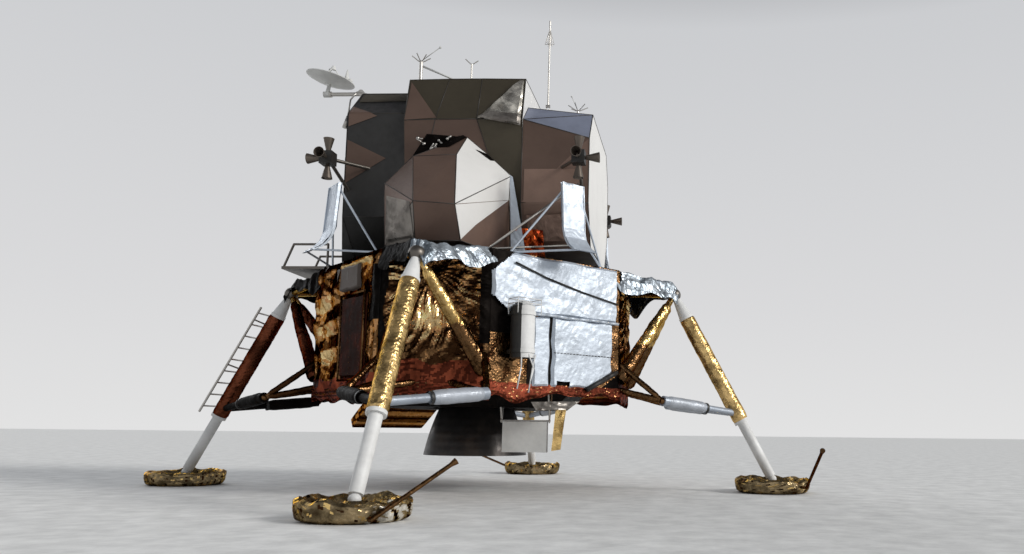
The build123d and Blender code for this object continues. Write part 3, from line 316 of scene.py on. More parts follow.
def laid_patch(name, surface, corners, side, finish_name, lift, depth, fold, seed, step=0.03, smooth=False):
    """A crumpled sheet with four corners in X and Z, laid on a surface from one side."""
    corners = a, b, c, d = [np.array(corner, float) for corner in corners]
    columns = max(3, int(max(np.linalg.norm(b - a), np.linalg.norm(c - d)) / step) + 1)
    rows = max(3, int(max(np.linalg.norm(d - a), np.linalg.norm(c - b)) / step) + 1)
    t, s, flat = four_sided(corners, rows, columns)
    height = creases(flat[..., 0], flat[..., 1], fold, seed) * depth
    height = height * fade(np.minimum(np.minimum(s, 1 - s), np.minimum(t, 1 - t)), 0, 0.08)
    points = np.zeros((rows, columns, 3))
    for i in range(rows):
        for j in range(columns):
            x, z = flat[i, j]
            place, normal, _, _ = surface.ray_cast(Vector((x, side * FAR_OFF, z)), Vector((0, -side, 0)))
            if place is None:
                place, normal, _, _ = surface.find_nearest(Vector((x, side * NEAR_OFF, z)))
            if normal.y * side < 0:
                normal = -normal
            points[i, j] = place + normal * (lift + height[i, j])
    return add_grid(name, points, [finish_name], smooth=smooth)


def bent_sheet(name, corners, depth, fold, seed, finish_name):
    """A crumpled sheet between four corners in space, folded along Y."""
    rows, columns = ((34, 34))
    _, _, points = four_sided([np.array(corner) for corner in corners], rows, columns)
    rise = creases(points[..., 0], points[..., 2], fold, seed)
    return add_grid(name, points + rise[..., None] * np.array([0.0, depth, 0.0]), [finish_name])


# Finishes

def add_node(tree, kind, values=None, links=None):
    """A new shader node, with some inputs set and others linked."""
    node = tree.nodes.new("ShaderNode" + kind)
    for name, value in (values or {}).items():
        node.inputs[name].default_value = value
    for name, output in (links or {}).items():
        tree.links.new(output, node.inputs[name])
    return node


def ramp(tree, value, stops):
    """Colours along a value."""
    node = add_node(tree, "ValToRGB", links={"Fac": value})
    elements = node.color_ramp.elements
    while len(elements) < len(stops):
        elements.new(0.5)
    for element, (position, colour) in zip(elements, stops):
        element.position = position
        element.color = (*colour, 1.0)
    return node.outputs["Color"]


def shade(colour, factor):
    """A lighter or darker version of a colour."""
    return tuple(min(1.0, c * factor) for c in colour)


class Look:
    """A material while it is made: its tree, its shader and the coordinates of the piece."""

    def __init__(self, name, metallic=0.0, **more):
        self.material = bpy.data.materials.new(name)
        self.material.use_nodes = True
        self.tree = self.material.node_tree
        self.shader = self.tree.nodes["Principled BSDF"].inputs
        self.place = add_node(self.tree, "TexCoord").outputs["Object"]
        self.shader["Metallic"].default_value = metallic
        for title, value in more.items():
            self.shader[title.replace("_", " ")].default_value = value

    def noise(self, scale, detail=4.0, roughness=0.55, place=None):
        """A noise over the piece."""
        values = {"Scale": scale, "Detail": detail, "Roughness": roughness}
        return add_node(self.tree, "TexNoise", values, {"Vector": place or self.place}).outputs["Fac"]

    def cells(self, scale):
        """Small cells over the piece, for fine crumpling."""
        return add_node(self.tree, "TexVoronoi", {"Scale": scale}, {"Vector": self.place}).outputs["Distance"]

    def tone(self, value, *stops):
        """The colour, from stops along a value."""
        self.tree.links.new(ramp(self.tree, value, stops), self.shader["Base Color"])

    def sheen(self, value, low, high):
        """The roughness, from low to high along a value."""
        values = {"From Min": 0.3, "From Max": 0.7, "To Min": low, "To Max": high}
        node = add_node(self.tree, "MapRange", values, {"Value": value})
        self.tree.links.new(node.outputs["Result"], self.shader["Roughness"])

    def relief(self, *bumps):
        """Bumps one over the other, each with its value, strength and distance."""
        links = {}
        for value, strength, distance in bumps:
            links["Height"] = value
            node = add_node(self.tree, "Bump", {"Strength": strength, "Distance": distance}, links)
            links = {"Normal": node.outputs["Normal"]}
        self.tree.links.new(links["Normal"], self.shader["Normal"])
        return self.material


def foil_finish(name, colour, dark, metallic=1.0, roughness=(0.14, 0.34), fine=34.0, patch=3.2, gloss=0.3,
                cloud=0.55):
    """Thin metal foil: bright faces, dark creases and fine crinkles."""
    look = Look(name, metallic, Specular_IOR_Level=gloss, Specular_Tint=(*shade(colour, 0.9), 1.0))
    look.tone(look.noise(patch, 6.0, 0.62),
              (0.30, dark), (0.46, shade(colour, cloud)), (0.56, colour), (0.74, shade(colour, 1.25)))
    look.sheen(look.noise(9.0), *roughness)
    return look.relief((look.cells(fine), 0.7, 0.006), (look.noise(fine * 2.3, 6.0), 0.5, 0.003))


def blanket_finish(name, colour, metallic=0.35):
    """A coated blanket: soft wrinkles, faint grey marks and a satin face."""
    look = Look(name, metallic)
    look.tone(look.noise(2.4, 7.0, 0.6),
              (0.28, shade(colour, 0.72)), (0.48, shade(colour, 0.94)), (0.7, shade(colour, 1.08)))
    look.sheen(look.noise(6.0), 0.34, 0.55)
    return look.relief((look.noise(4.0, 5.0, 0.7), 0.35, 0.02), (look.cells(22.0), 0.35, 0.004))


def panel_finish(name, colour, roughness=(0.38, 0.55), metallic=0.3, mottle=0.16):
    """A thin metal panel: faint waviness, cloudy tone and short level scuffs."""
    look = Look(name, metallic, Specular_IOR_Level=0.22)
    look.tone(look.noise(1.7, 8.0, 0.6),
              (0.30, shade(colour, 1 - mottle)), (0.5, colour), (0.72, shade(colour, 1 + mottle * 0.7)))
    squeezed = add_node(look.tree, "Mapping", {"Scale": (1.0, 1.0, 5.0)}, {"Vector": look.place})
    look.sheen(look.noise(14.0, 6.0, 0.7, squeezed.outputs["Vector"]), *roughness)
    return look.relief((look.noise(1.9, 2.0), 0.25, 0.03), (look.noise(60.0), 0.15, 0.001))


def paint_finish(name, colour, roughness=(0.42, 0.62), wear=None):
    """Paint with dust, and with worn spots of another colour where asked."""
    look = Look(name)
    stops = [(0.30, shade(colour, 0.80)), (0.55, colour), (0.70, shade(colour, 1.12))]
    if wear is not None:
        stops.append((0.80, wear))
    look.tone(look.noise(3.0, 9.0, 0.65), *stops)
    look.sheen(look.noise(11.0), *roughness)
    return look.relief((look.noise(45.0, 5.0), 0.2, 0.002))


def bell_finish(name):
    """The engine skirt: dark coating with faint rings and a heat tint."""
    look = Look(name, 0.6)
    rings = add_node(look.tree, "TexWave", {"Scale": 3.0, "Distortion": 1.6}, {"Vector": look.place})
    rings.bands_direction = "Z"
    look.tone(look.noise(2.2, 7.0),
              (0.3, (0.012, 0.011, 0.012)), (0.55, (0.030, 0.027, 0.026)), (0.75, (0.075, 0.060, 0.050)))
    look.sheen(look.noise(8.0), 0.3, 0.5)
    return look.relief((rings.outputs["Fac"], 0.12, 0.01))


def glass_finish(name):
    """A dark coated pane that mirrors its surroundings."""
    look = Look(name, IOR=1.6, Coat_Weight=1.0, Coat_Roughness=0.04)
    look.tone(look.noise(3.0, 3.0), (0.3, (0.02, 0.03, 0.04)), (0.7, (0.05, 0.06, 0.075)))
    look.sheen(look.noise(20.0), 0.05, 0.12)
    return look.material


FINISHES = {}


def finish(name):
    """One of the lander's finishes, made the first time it is asked for."""
    if name in FINISHES:
        return FINISHES[name]
    colours = bpy.context.scene.lander_colours
    makers = {
        "amber": lambda: foil_finish(
            "amber_foil", shade(colours.amber, 0.92), shade(colours.amber, 0.60), patch=8.0, cloud=0.84),
        "gold": lambda: foil_finish("gold_foil", colours.gold, (0.30, 0.16, 0.04), roughness=(0.16, 0.32)),
        # painted shade: a half-dark copy of the amber foil for folds on the calmer walls
        "amber_half_shaded": lambda: foil_finish(
            "half_shaded_amber_foil", shade(colours.amber, 0.56), shade(colours.amber, 0.30),
            patch=8.0, cloud=0.82),
        "brown": lambda: foil_finish(
            "brown_foil", shade(colours.amber, 0.30), shade(colours.amber, 0.15), patch=8.0, cloud=0.80),
        "umber": lambda: foil_finish("umber_foil", (0.050, 0.022, 0.009), (0.012, 0.005, 0.003)),
        "glint": lambda: foil_finish(
            "glint_foil", (1.0, 0.74, 0.38), (0.74, 0.44, 0.16), 0.8, (0.18, 0.32), fine=22.0),
        # russet for the front leg's foil: a reddish tone, darkened as painted shade
        "russet": lambda: foil_finish("shaded_russet_foil", (0.15, 0.045, 0.022), (0.03, 0.010, 0.006)),
        # painted shade: a darker copy of the copper foil for folds that face away from the light
        "copper_shaded": lambda: foil_finish(
            "shaded_copper_foil", (0.11, 0.026, 0.014), (0.03, 0.008, 0.005), 0.8, (0.3, 0.45)),
        "copper": lambda: foil_finish(
            "copper_foil", colours.copper, (0.07, 0.016, 0.008), 0.65, (0.38, 0.55), fine=12.0),
        "black_foil": lambda: foil_finish(
            "black_foil", (0.011, 0.009, 0.008), (0.004, 0.003, 0.003), 0.4, (0.45, 0.6),
            fine=12.0, gloss=0.10),
        "skirt": lambda: foil_finish(
            "skirt_foil", (0.27, 0.060, 0.032), (0.07, 0.016, 0.008), 0.3, (0.5, 0.65), fine=7.0, gloss=0.2),
        "silver": lambda: blanket_finish("silver_blanket", colours.silver),
        "hood": lambda: foil_finish(
            "hood_blanket", colours.hood, (0.10, 0.12, 0.15), 0.75, (0.24, 0.42), fine=20.0, patch=5.0),
        "sleeve": lambda: blanket_finish("strut_sleeve", (0.42, 0.45, 0.50), metallic=0.3),
        # painted shade and painted sunlight: darker and paler copies of the hood blanket for folds facing
        # away from and towards the lamp
        "hood_shaded": lambda: foil_finish(
            "shaded_hood_blanket", (0.060, 0.070, 0.085), (0.012, 0.014, 0.018), 0.7, (0.24, 0.42),
            fine=20.0, patch=5.0),
        "hood_sunlit": lambda: foil_finish(
            "sunlit_hood_blanket", (0.42, 0.47, 0.52), (0.20, 0.23, 0.28), 0.6, (0.24, 0.42),
            fine=20.0, patch=5.0),
        "strut_gold": lambda: foil_finish(
            "strut_foil", (0.74, 0.51, 0.22), (0.19, 0.12, 0.045), 0.85, (0.20, 0.34), fine=30.0, patch=7.0),
        "pad_gold": lambda: foil_finish(
            "pad_foil", (0.36, 0.27, 0.15), (0.06, 0.04, 0.02), 0.85, (0.18, 0.34), fine=26.0, patch=6.0),
        "door": lambda: foil_finish(
            "door_foil", (0.085, 0.026, 0.014), (0.035, 0.011, 0.006), 0.8, (0.3, 0.45), fine=9.0),
        "plate": lambda: panel_finish("bare_plate", (0.088, 0.070, 0.060), (0.45, 0.6), 0.2, mottle=0.12),
        "rim": lambda: foil_finish("rim_band", (0.13, 0.105, 0.09), (0.04, 0.03, 0.028), 0.6, (0.3, 0.5)),
        "bright": lambda: foil_finish(
            "bright_foil", (0.72, 0.68, 0.60), (0.25, 0.21, 0.17), 0.8, (0.18, 0.34), fine=14.0, patch=3.0),
        "red": lambda: foil_finish("red_foil", (0.75, 0.13, 0.03), (0.18, 0.02, 0.01), 0.85, (0.2, 0.38)),
        "rose": lambda: panel_finish("rose_panel", colours.rose),
        # painted light from the floor: a lighter copy of the rose panel for faces that look down or sit low
        "rose_lit_from_below": lambda: panel_finish("lit_from_below_rose_panel", shade(colours.rose, 1.22)),
        "rose_high": lambda: panel_finish("high_rose_panel", shade(colours.rose, 0.78)),
        "olive": lambda: panel_finish("olive_panel", colours.olive),
        # painted sunlight: the pale panel goes on faces that look towards the lamp
        "pale": lambda: panel_finish("sunlit_pale_panel", colours.pale, mottle=0.05, metallic=0.1),
        "silvery": lambda: foil_finish(
            "silvery_foil", (0.30, 0.275, 0.25), (0.15, 0.13, 0.12), 0.6, (0.26, 0.42), fine=7.0, patch=2.0),
        "slate": lambda: panel_finish("slate_panel", (0.25, 0.275, 0.36), mottle=0.2),
        "tan": lambda: panel_finish("tan_panel", shade(colours.rose, 1.6)),
        "black": lambda: paint_finish("black_paint", colours.black, wear=(0.06, 0.055, 0.05)),
        "white": lambda: paint_finish("white_paint", colours.white),
        "grey": lambda: blanket_finish("grey_tube", (0.34, 0.38, 0.44), metallic=0.3),
        "metal": lambda: panel_finish("bare_metal", colours.metal, (0.28, 0.45), 0.85),
        "dark_metal": lambda: panel_finish("dark_metal", (0.16, 0.145, 0.13), (0.32, 0.5), 0.85),
        # the nozzles' dark metal, darkened further as painted shade for clusters that stand in shadow
        "nozzle": lambda: panel_finish("nozzle_metal", (0.15, 0.125, 0.105), (0.3, 0.5), 0.7, mottle=0.3),
        "seam": lambda: paint_finish("seam_strip", (0.035, 0.030, 0.026)),
        "bell": lambda: bell_finish("engine_skirt"),
        "glass": lambda: glass_finish("coated_pane"),
        "radar_white": lambda: paint_finish("antenna_white", (0.70, 0.70, 0.68), wear=(0.5, 0.47, 0.42)),
        "floor": lambda: paint_finish("floor_paint", (0.74, 0.74, 0.73), (0.85, 0.95)),
    }
    FINISHES[name] = makers[name]()
    return FINISHES[name]


def finish_node(name, finish_names, choose=None):
    """Give a CAD node its finishes, each face by its middle and the way that it looks."""
    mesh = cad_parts[name].data
    mesh.materials.clear()
    for finish_name in finish_names:
        mesh.materials.append(finish(finish_name))
    mesh.polygons.foreach_set(
        "material_index", [choose(p.center, p.normal) if choose else 0 for p in mesh.polygons])


# Operators

class LANDER_OT_finishes(bpy.types.Operator):
    """Give every piece of the frame its paint, panel, foil or metal"""

    bl_idname = "lander.finishes"
    bl_label = "Finishes"

    def execute(self, context):
        plain = {
            "gold": ("outrigger_tubes", "footpads", "equipment_tray"),
            "brown": ("deployment_trusses", "contact_probes"),
            "amber": tuple(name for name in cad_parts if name.startswith(("tank_bay", "quadrant_bay"))),
            "white": ("primary_struts",),
            "copper": ("interstage_posts",),
            "metal": (
                "ladder", "docking_ring", "gimbal_ring", "radar_foot", "radar_yoke", "relay_boom",
                "relay_yoke", "mast_foot", "mast", "roof_antennas", "radar_hangers"),
            "dark_metal": (
                "engine_bay_frame", "descent_chamber", "forward_hatch", "thruster_booms", "porch",
                "apex_fittings"),
            "black_foil": ("descent_deck",),
            "silver": ("bay_panels", "plume_deflectors", "outrigger_blankets"),
            "bell": ("descent_bell",),
            "glass": ("window_glass",),
            "radar_white": ("radar_dish", "relay_dish"),
            "black": ("cabin_walls",),
        }
        for finish_name, nodes in plain.items():
            for node in nodes:
                finish_node(node, [finish_name])
        mixed = {
            "base_heat_shield": (["black_foil", "rim"], lambda c, n: n.z > -0.5),
            # painted shade: the forward secondary struts, away from the lamp, are black foil
            "secondary_struts": (["grey", "black_foil"], lambda c, n: c.x > 2.5 or (c.y > 2.5 and c.x > 0)),
            "landing_radar": (["radar_white", "dark_metal"], lambda c, n: abs(n.y) < 0.5),
            # painted sunlight: the cask is white on the side that faces the lamp and black on the rest
            "fuel_cask": (["black", "white"], lambda c, n: n.x < -0.10),
            "cabin_front": (["black", "rose_high"], lambda c, n: n.x > 0.97 and c.z > 4.3),
            "midsection": (["olive", "rose_high", "pale"], self.middle_face),
            "tank_fairing_left": (["rose", "rose_lit_from_below", "pale", "silvery"], self.fairing_face),
            "tank_fairing_right": (["rose", "rose_lit_from_below", "pale", "silvery"], self.fairing_face),
            "aft_equipment_bay": (["rose_high", "rose_lit_from_below", "pale", "slate"], self.aft_face),
        }
        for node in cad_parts:
            if node.startswith("thruster_cluster"):
                mixed[node] = (["black", "nozzle"], self.thruster_face)
        for node, (finish_names, choose) in mixed.items():
            finish_node(node, finish_names, choose)
        return {"FINISHED"}

    @staticmethod
    def thruster_face(centre, normal):
        """Nozzles are bare metal, their block is black."""
        block_out, block_z, block_half = 1.676, 4.42, 0.088
        offsets = [abs(abs(centre.x) - block_out), abs(abs(centre.y) - block_out), abs(centre.z - block_z)]
        return max(offsets) > block_half

    @staticmethod
    def middle_face(centre, normal):
        """Upper sides olive, lower sides warm grey and darker towards the rear, the rear end pale as painted
        sunlight.
        """
        # painted sunlight on the faces that look to the rear, towards the lamp
        if normal.x < -0.7:
            return 2
        return 0 if centre.z > 5.1 or centre.x < -0.25 else 1

    @staticmethod
    def fairing_face(centre, normal):
        """Painted light: rear facets pale as painted sunlight above a painted shadow line and lighter rose
        below it, silvery ones low in front, the rest rose where they look up and a lighter rose, painted
        light from the floor, where they don't.
        """
        if normal.x < -0.45:
            # the line between the painted sunlight above and the painted shadow below
            edge = 3.20 - (centre.x + 0.285) / 0.375 * 0.785
            return 2 if centre.z > edge else 1
        if normal.x > 0.15 and normal.z < -0.1:
            return 3
        return 0 if normal.z > 0.1 else 1

    @staticmethod
    def aft_face(centre, normal):
        """Silver roof, rear pale as painted sunlight, warm grey sides, lighter low down as painted light from
        the floor.
        """
        if normal.x < -0.7:
            return 2
        if normal.z > 0.35:
            return 3
        return 0 if centre.z > 4.35 else 1


def octagon_corner(index):
    """One of the eight corners of the stage, anticlockwise from the right end of the front face."""
    quarter, second = divmod(index % 8, 2)
    point = np.array([STAGE_HALF, STAGE_CORNER if second else -STAGE_CORNER])
    turn = math.radians(90 * quarter)
    return np.array([point[0] * math.cos(turn) - point[1] * math.sin(turn),
                     point[0] * math.sin(turn) + point[1] * math.cos(turn)])


def wall_frame(index):
    """A stage wall's first corner, the direction along it, its outward direction and its width."""
    first, last = octagon_corner(index), octagon_corner(index + 1)
    along = (last - first) / np.linalg.norm(last - first)
    return first, along, np.array([along[1], -along[0]]), float(np.linalg.norm(last - first))


def wall_points(index, left, right, low, high, step):
    """A grid over part of a stage wall: distances along it and heights, with the wall's frame."""
    columns, rows = int((right - left) / step) + 2, int((high - low) / step) + 2
    height, run = np.meshgrid(np.linspace(low, high, rows), np.linspace(left, right, columns), indexing="ij")
    return run, height, *wall_frame(index)[:3]


def on_wall(first, along, outward, run, height, off):
    """Points at a distance along a wall, a height and a distance off it."""
    flat = first + run[..., None] * along + off[..., None] * outward
    return np.concatenate([flat, height[..., None]], -1)


def wall_spot(index, run, height, off):
    """One point over a stage wall."""
    return on_wall(*wall_frame(index)[:3], np.array(run), np.array(height), np.array(off))


# Foils of the stage's walls, in the order of their slots; all but black are picked by how each fold faces, as
# painted light and shade, glint being a painted highlight
BAY_TONES = ("umber", "brown", "amber", "glint", "copper_shaded", "copper", "black_foil", "amber_half_shaded")
BROWN, AMBER, GLINT, COPPER_SHADED, COPPER, BLACK, AMBER_HALF_SHADED = range(1, 8)
# Painted light and shade: how much darker a wall is painted than the others, and its painted lit spots: gain,
# distance along it, height, half width and half height of each
LIT = {
    "left": (0.15, ((0.78, 0.66, 2.24, 0.25, 0.26), (-0.30, 0.70, 1.90, 0.40, 0.09))),
    "front_left": (0.16, (
        (0.40, 0.32, 2.45, 0.30, 0.45), (0.45, 1.55, 3.02, 0.40, 0.14), (0.35, 0.55, 1.75, 0.20, 0.45),
        (0.40, 1.85, 1.95, 0.20, 0.20))),
}
# Top of the copper foot where it differs from the usual height
COPPER_TOP = {"left": 1.70, "rear_left": 1.44}


class LANDER_OT_bay_foil(bpy.types.Operator):
    """Wrap the eight walls of the lower stage in crumpled amber foil"""

    bl_idname = "lander.bay_foil"
    bl_label = "Bay foil"

    def execute(self, context):
        sizes = context.scene.lander_sizes
        step = 0.019
        # each wall's foil runs a little past its corners
        lap = 0.012
        names = ("front", "front_left", "left", "rear_left", "rear", "rear_right", "right", "front_right")
        for index, name in enumerate(names):
            width = wall_frame(index)[3]
            run, height, first, along, outward = wall_points(
                index, -lap, width + lap, STAGE_FLOOR - 0.05, DECK_TOP - 0.012, step)
            depth = sizes.foil_depth * (0.35 if name == "rear_left" else 1.0)
            crumple = creases(run, height, sizes.foil_fold * 1.35, 11 + index)
            fine = creases(run, height, sizes.foil_fold * 0.45, 51 + index)
            if name in ("left", "right", "rear", "front"):
                gather = pleats(run, height, (width * 0.45, 2.82), 30, 5 + index) * fade(height, 1.72, 1.98)
                crumple = (0.62 + 0.75 * fade(-height, -1.95, -1.70)) * crumple + 0.85 * gather
            if name in ("front_left", "front_right", "rear_right"):
                deep = 1.6
                if name == "front_left":
                    # flatter behind the door and the plate
                    behind = fade(0.52 - np.abs(run - 1.38), 0, 0.10) * fade(3.04 - height, 0, 0.06)
                    deep = 1.75 - 1.35 * behind
                crumple = creases(run, height, sizes.foil_fold * 1.9, 31 + index, 7, 0.3) * deep
            rise = crumple * 0.9 + fine * 0.14
            edge = fade(np.minimum(run + lap, width + lap - run), 0, 0.09)
            end = fade(height, STAGE_FLOOR - 0.05, STAGE_FLOOR + 0.05)
            end = end * fade(-height, -DECK_TOP, -DECK_TOP + 0.12)
            off = 0.010 + depth * rise * (0.25 + 0.75 * edge) * (0.35 + 0.65 * end)
            points = on_wall(first, along, outward, run, height, off)
            piece = add_grid(
                "bay_foil_" + name, points, BAY_TONES, self.chooser(name, first, along, width),
                self.opening(name, first, along, width))
            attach(piece, "lander")
        return {"FINISHED"}

    @staticmethod
    def chooser(name, first, along, width):
        """Which foil shows on each fold of one wall, as painted light and shade: pale where it looks down or
        along the wall, dark where it looks up.
        """
        def choose(centres, normals):
            run = (centres[:, :2] - first) @ along
            height = centres[:, 2]
            wave = 0.06 * drift(run, height, 0.5, 7)
            look = 0.35 * (normals[:, :2] @ along) - normals[:, 2] + 0.10 * drift(run, height, 0.22, 17)
            # painted shade on the darker walls and painted lit spots
            darker, spots = LIT.get(name, (0.0, ()))
            look = look - darker
            for gain, x, z, wide, tall in spots:
                look = look + gain * np.exp(-((run - x) / wide) ** 2 - ((height - z) / tall) ** 2)
            index = np.digitize(look, (-0.10, 0.10, 0.34))
            if name in ("front_right", "rear_right"):
                shown = np.array([BROWN, AMBER_HALF_SHADED, AMBER, GLINT])
                index = shown[np.digitize(look, (-0.22, 0.14, 0.55))]
            low = height + 0.6 * wave < COPPER_TOP.get(name, 1.52)
            slope = 0.6 * (normals[:, :2] @ along) - normals[:, 2] + 0.04 * drift(run, height, 0.3, 23)
            # painted light and shade on the copper foot: copper where a fold faces down and along the wall,
            # the shaded copy where it does not
            index[low] = np.where(slope[low] > 0.02, COPPER, COPPER_SHADED)
            # black foil in the corners, at the top and round the silver blankets
            if name == "left":
                index[(height + wave > 2.88) & (run < width * 0.34)] = BLACK
                index[(run + wave * 0.5 < 0.09) & (height < 2.9)] = BLACK
                index[(run > width - 0.13) & (height > 1.9)] = BLACK
            if name == "front_left":
                index[(run + wave > width * 0.885) & (height > 2.2) & (height < 2.9)] = BLACK
            if name == "rear_left":
                index[(run < 0.36) & (height > 2.05)] = BLACK
                index[run - 1.5 * (height - 1.45) > width * 0.86] = BLACK
                index[(run > 0.855) & (run < 1.25) & (height < 2.4)] = BLACK
                index[(run > 0.54) & (run < 0.64) & (height < 2.4)] = BLACK
            if name in ("rear", "front"):
                index[height + wave > 2.86] = BLACK
            return index.astype(np.int32)
        return choose

    @staticmethod
    def opening(name, first, along, width):
        """Keeps the foil off the open equipment bay."""
        if name != "front_right":
            return None
        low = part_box("quadrant_bay_front_right")[0].z + 0.03
        half, tall = 0.66, 1.16
        sill_half, sill_tall = 0.70, 0.04

        def keep(centres):
            off_middle, height = np.abs((centres[:, :2] - first) @ along - width / 2), centres[:, 2]
            inside = (off_middle < half) & (height > low) & (height < low + tall)
            return ~(inside | ((off_middle < sill_half) & (height < low + sill_tall)))
        return keep


class LANDER_OT_bay_blankets(bpy.types.Operator):
    """Hang the smooth silver blankets, the door and the bare plate on the lower stage"""

    bl_idname = "lander.bay_blankets"
    bl_label = "Bay blankets"

    def execute(self, context):
        sizes = context.scene.lander_sizes
        # wall, left and right along the face from its middle, low, high, finish, depth, off the wall, name
        table = (
            (3, -1.03, 0.97, 2.335, DECK_TOP - 0.02, "silver", 1.3, 0.034, "upper"),
            (3, -0.42, -0.145, 1.41, 2.325, "silver", 0.7, 0.030, "narrow"),
            (3, -0.115, 0.90, 1.41, 2.335, "silver", 0.8, 0.036, "wide"),
            (1, -0.03, 0.68, 1.50, 2.58, "door", 0.25, 0.060, "door"),
            (1, -0.29, 0.47, 2.66, 3.02, "plate", 0.15, 0.052, "plate"),
        )
        for wall, left, right, *rest in table:
            self.blanket(sizes, wall, FACE_HALF + left, FACE_HALF + right, *rest)
        self.stitches()
        self.door_frame()
        self.strap_and_roll()
        return {"FINISHED"}

    @classmethod
    def blanket(cls, sizes, wall, left, right, low, high, finish_name, depth, off, name):
        """One blanket with its turned edge."""
        step = 0.018
        run, height, first, along, outward = wall_points(wall, left, right, low, high, step)
        seed = int(left * 100) + int(low * 10)
        wrinkle = creases(run, height, 0.30, seed, 8, 0.9) + 0.45 * creases(run, height, 0.10, seed + 5, 7)
        inset = np.minimum(np.minimum(run - left, right - run), np.minimum(height - low, high - height))
        edge = fade(inset, 0, 0.035)
        ragged = 0.008 * drift(height, height * 0, 0.25, seed + 3)
        run = run + np.where(run > (left + right) / 2, ragged, -ragged)
        height = height + 0.008 * drift(run, run * 0, 0.35, seed + 4)
        stand = off * edge + sizes.blanket_depth * depth * wrinkle * (0.3 + 0.7 * edge) + 0.012
        points = on_wall(first, along, outward, run, height, stand)
        piece = add_grid(
            "bay_blanket_" + name, points, [finish_name], keep=cls.cut(name, first, along),
            smooth=finish_name == "plate")
        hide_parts("bay_panels")
        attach(piece, "lander")

    @staticmethod
    def cut(name, first, along):
        """Cuts the forward corners of the upper blanket, and a corner and a notch of the wide one."""
        def upper(run, height):
            return run > np.maximum(0.30 * (height - 2.83) / 0.26, 0.24 * (2.52 - height) / 0.185)

        def wide(run, height):
            corner = (run - (FACE_HALF + 0.55)) < (height - 1.41) * 1.25
            return corner & ((np.abs(run - FACE_HALF - 0.06) > 0.11) | (height > 1.49))

        shape = {"upper": upper, "wide": wide}.get(name)
        return shape and (lambda centres: shape((centres[:, :2] - first) @ along, centres[:, 2]))

    @staticmethod
    def stitches():
        """The dashed line of stitches across the wide blanket."""
        rods = Rods()
        spacing, length, height, off = 0.052, 0.034, 1.86, 0.062
        for index in range(20):
            run = FACE_HALF - 0.10 + spacing * index
            rods.bar(wall_spot(3, run, height, off), wall_spot(3, run + length, height, off), 0.005, around=6)
        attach(rods.build("blanket_stitches", "seam"), "lander")

    @staticmethod
    def door_frame():
        """The tube round the door and three rows of studs down it."""
        rods = Rods()
        corners = [(-0.05, 1.48), (0.70, 1.48), (0.70, 2.60), (-0.05, 2.60), (-0.05, 1.48)]
        rods.path([wall_spot(1, FACE_HALF + s, z, 0.070) for s, z in corners], 0.016)
        for index in range(14):
            for s in (0.02, 0.33, 0.63):
                rods.bead(wall_spot(1, FACE_HALF + s, 1.56 + 0.07 * index, 0.086), 0.006, 6)
        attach(rods.build("door_frame", "brown"), "lander")

    @staticmethod
    def strap_and_roll():
        """The strap over the upper blanket, the bar at the wide one's foot and the roll between them."""
        rods = Rods()
        strap = ((0.30, 2.96), (0.78, 2.82), (1.36, 2.70), (1.98, 2.60))
        rods.path([wall_spot(3, run, z, 0.075) for run, z in strap], 0.013, 6)
        foot = ((1.46, 1.40, 0.08), (1.76, 1.56, 0.10), (1.98, 1.66, 0.06))
        rods.path([wall_spot(3, *spot) for spot in foot], 0.035, 10)
        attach(rods.build("blanket_strap", "black"), "lander")
        rods = Rods()
        roll = [wall_spot(3, run, 2.335 + 0.006 * math.sin(9 * run), 0.060)
                for run in np.linspace(0.60, 2.0, 9)]
        rods.path(roll, 0.020, 8)
        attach(rods.build("blanket_roll", "silver"), "lander")


def wrap(name, start, end, first_radius, last_radius, depth, fold, seed, finish_names, choose=None, turn=0.0):
    """A crumpled sleeve round one straight tube, tied in at its ends."""
    length = math.dist(start, end)
    around = 34
    steps = max(6, int(length / (0.024)))
    middle, out, radius, share, angle = tube_points(start, end, first_radius, last_radius, around, steps)
    girth = first_radius * 2 * math.pi
    # the angle is laid out on a circle so that the creases join up behind
    x = np.cos(angle) * girth / 6.3 + share * length * 0.6
    y = np.sin(angle) * girth / 6.3 + share * length * 0.8
    rise = creases(x, y, fold, seed) * 0.9 + 0.35 * creases(x, y, fold * 0.45, seed + 3)
    tied = fade(np.minimum(share, 1 - share) * length, 0, 0.05)
    radius = radius + depth * (0.15 + rise * tied) - 0.004 * (1 - tied)
    points = turned(middle + out * radius[..., None], turn)
    return add_grid(name, points, finish_names, choose, closed=True)


def truss_tip(sign):
    """Where the front leg's deployment truss holds the secondary strut on one side."""
    return (STAGE_HALF + 0.64, sign * (STAGE_CORNER + 0.15), STAGE_FLOOR - 0.10)


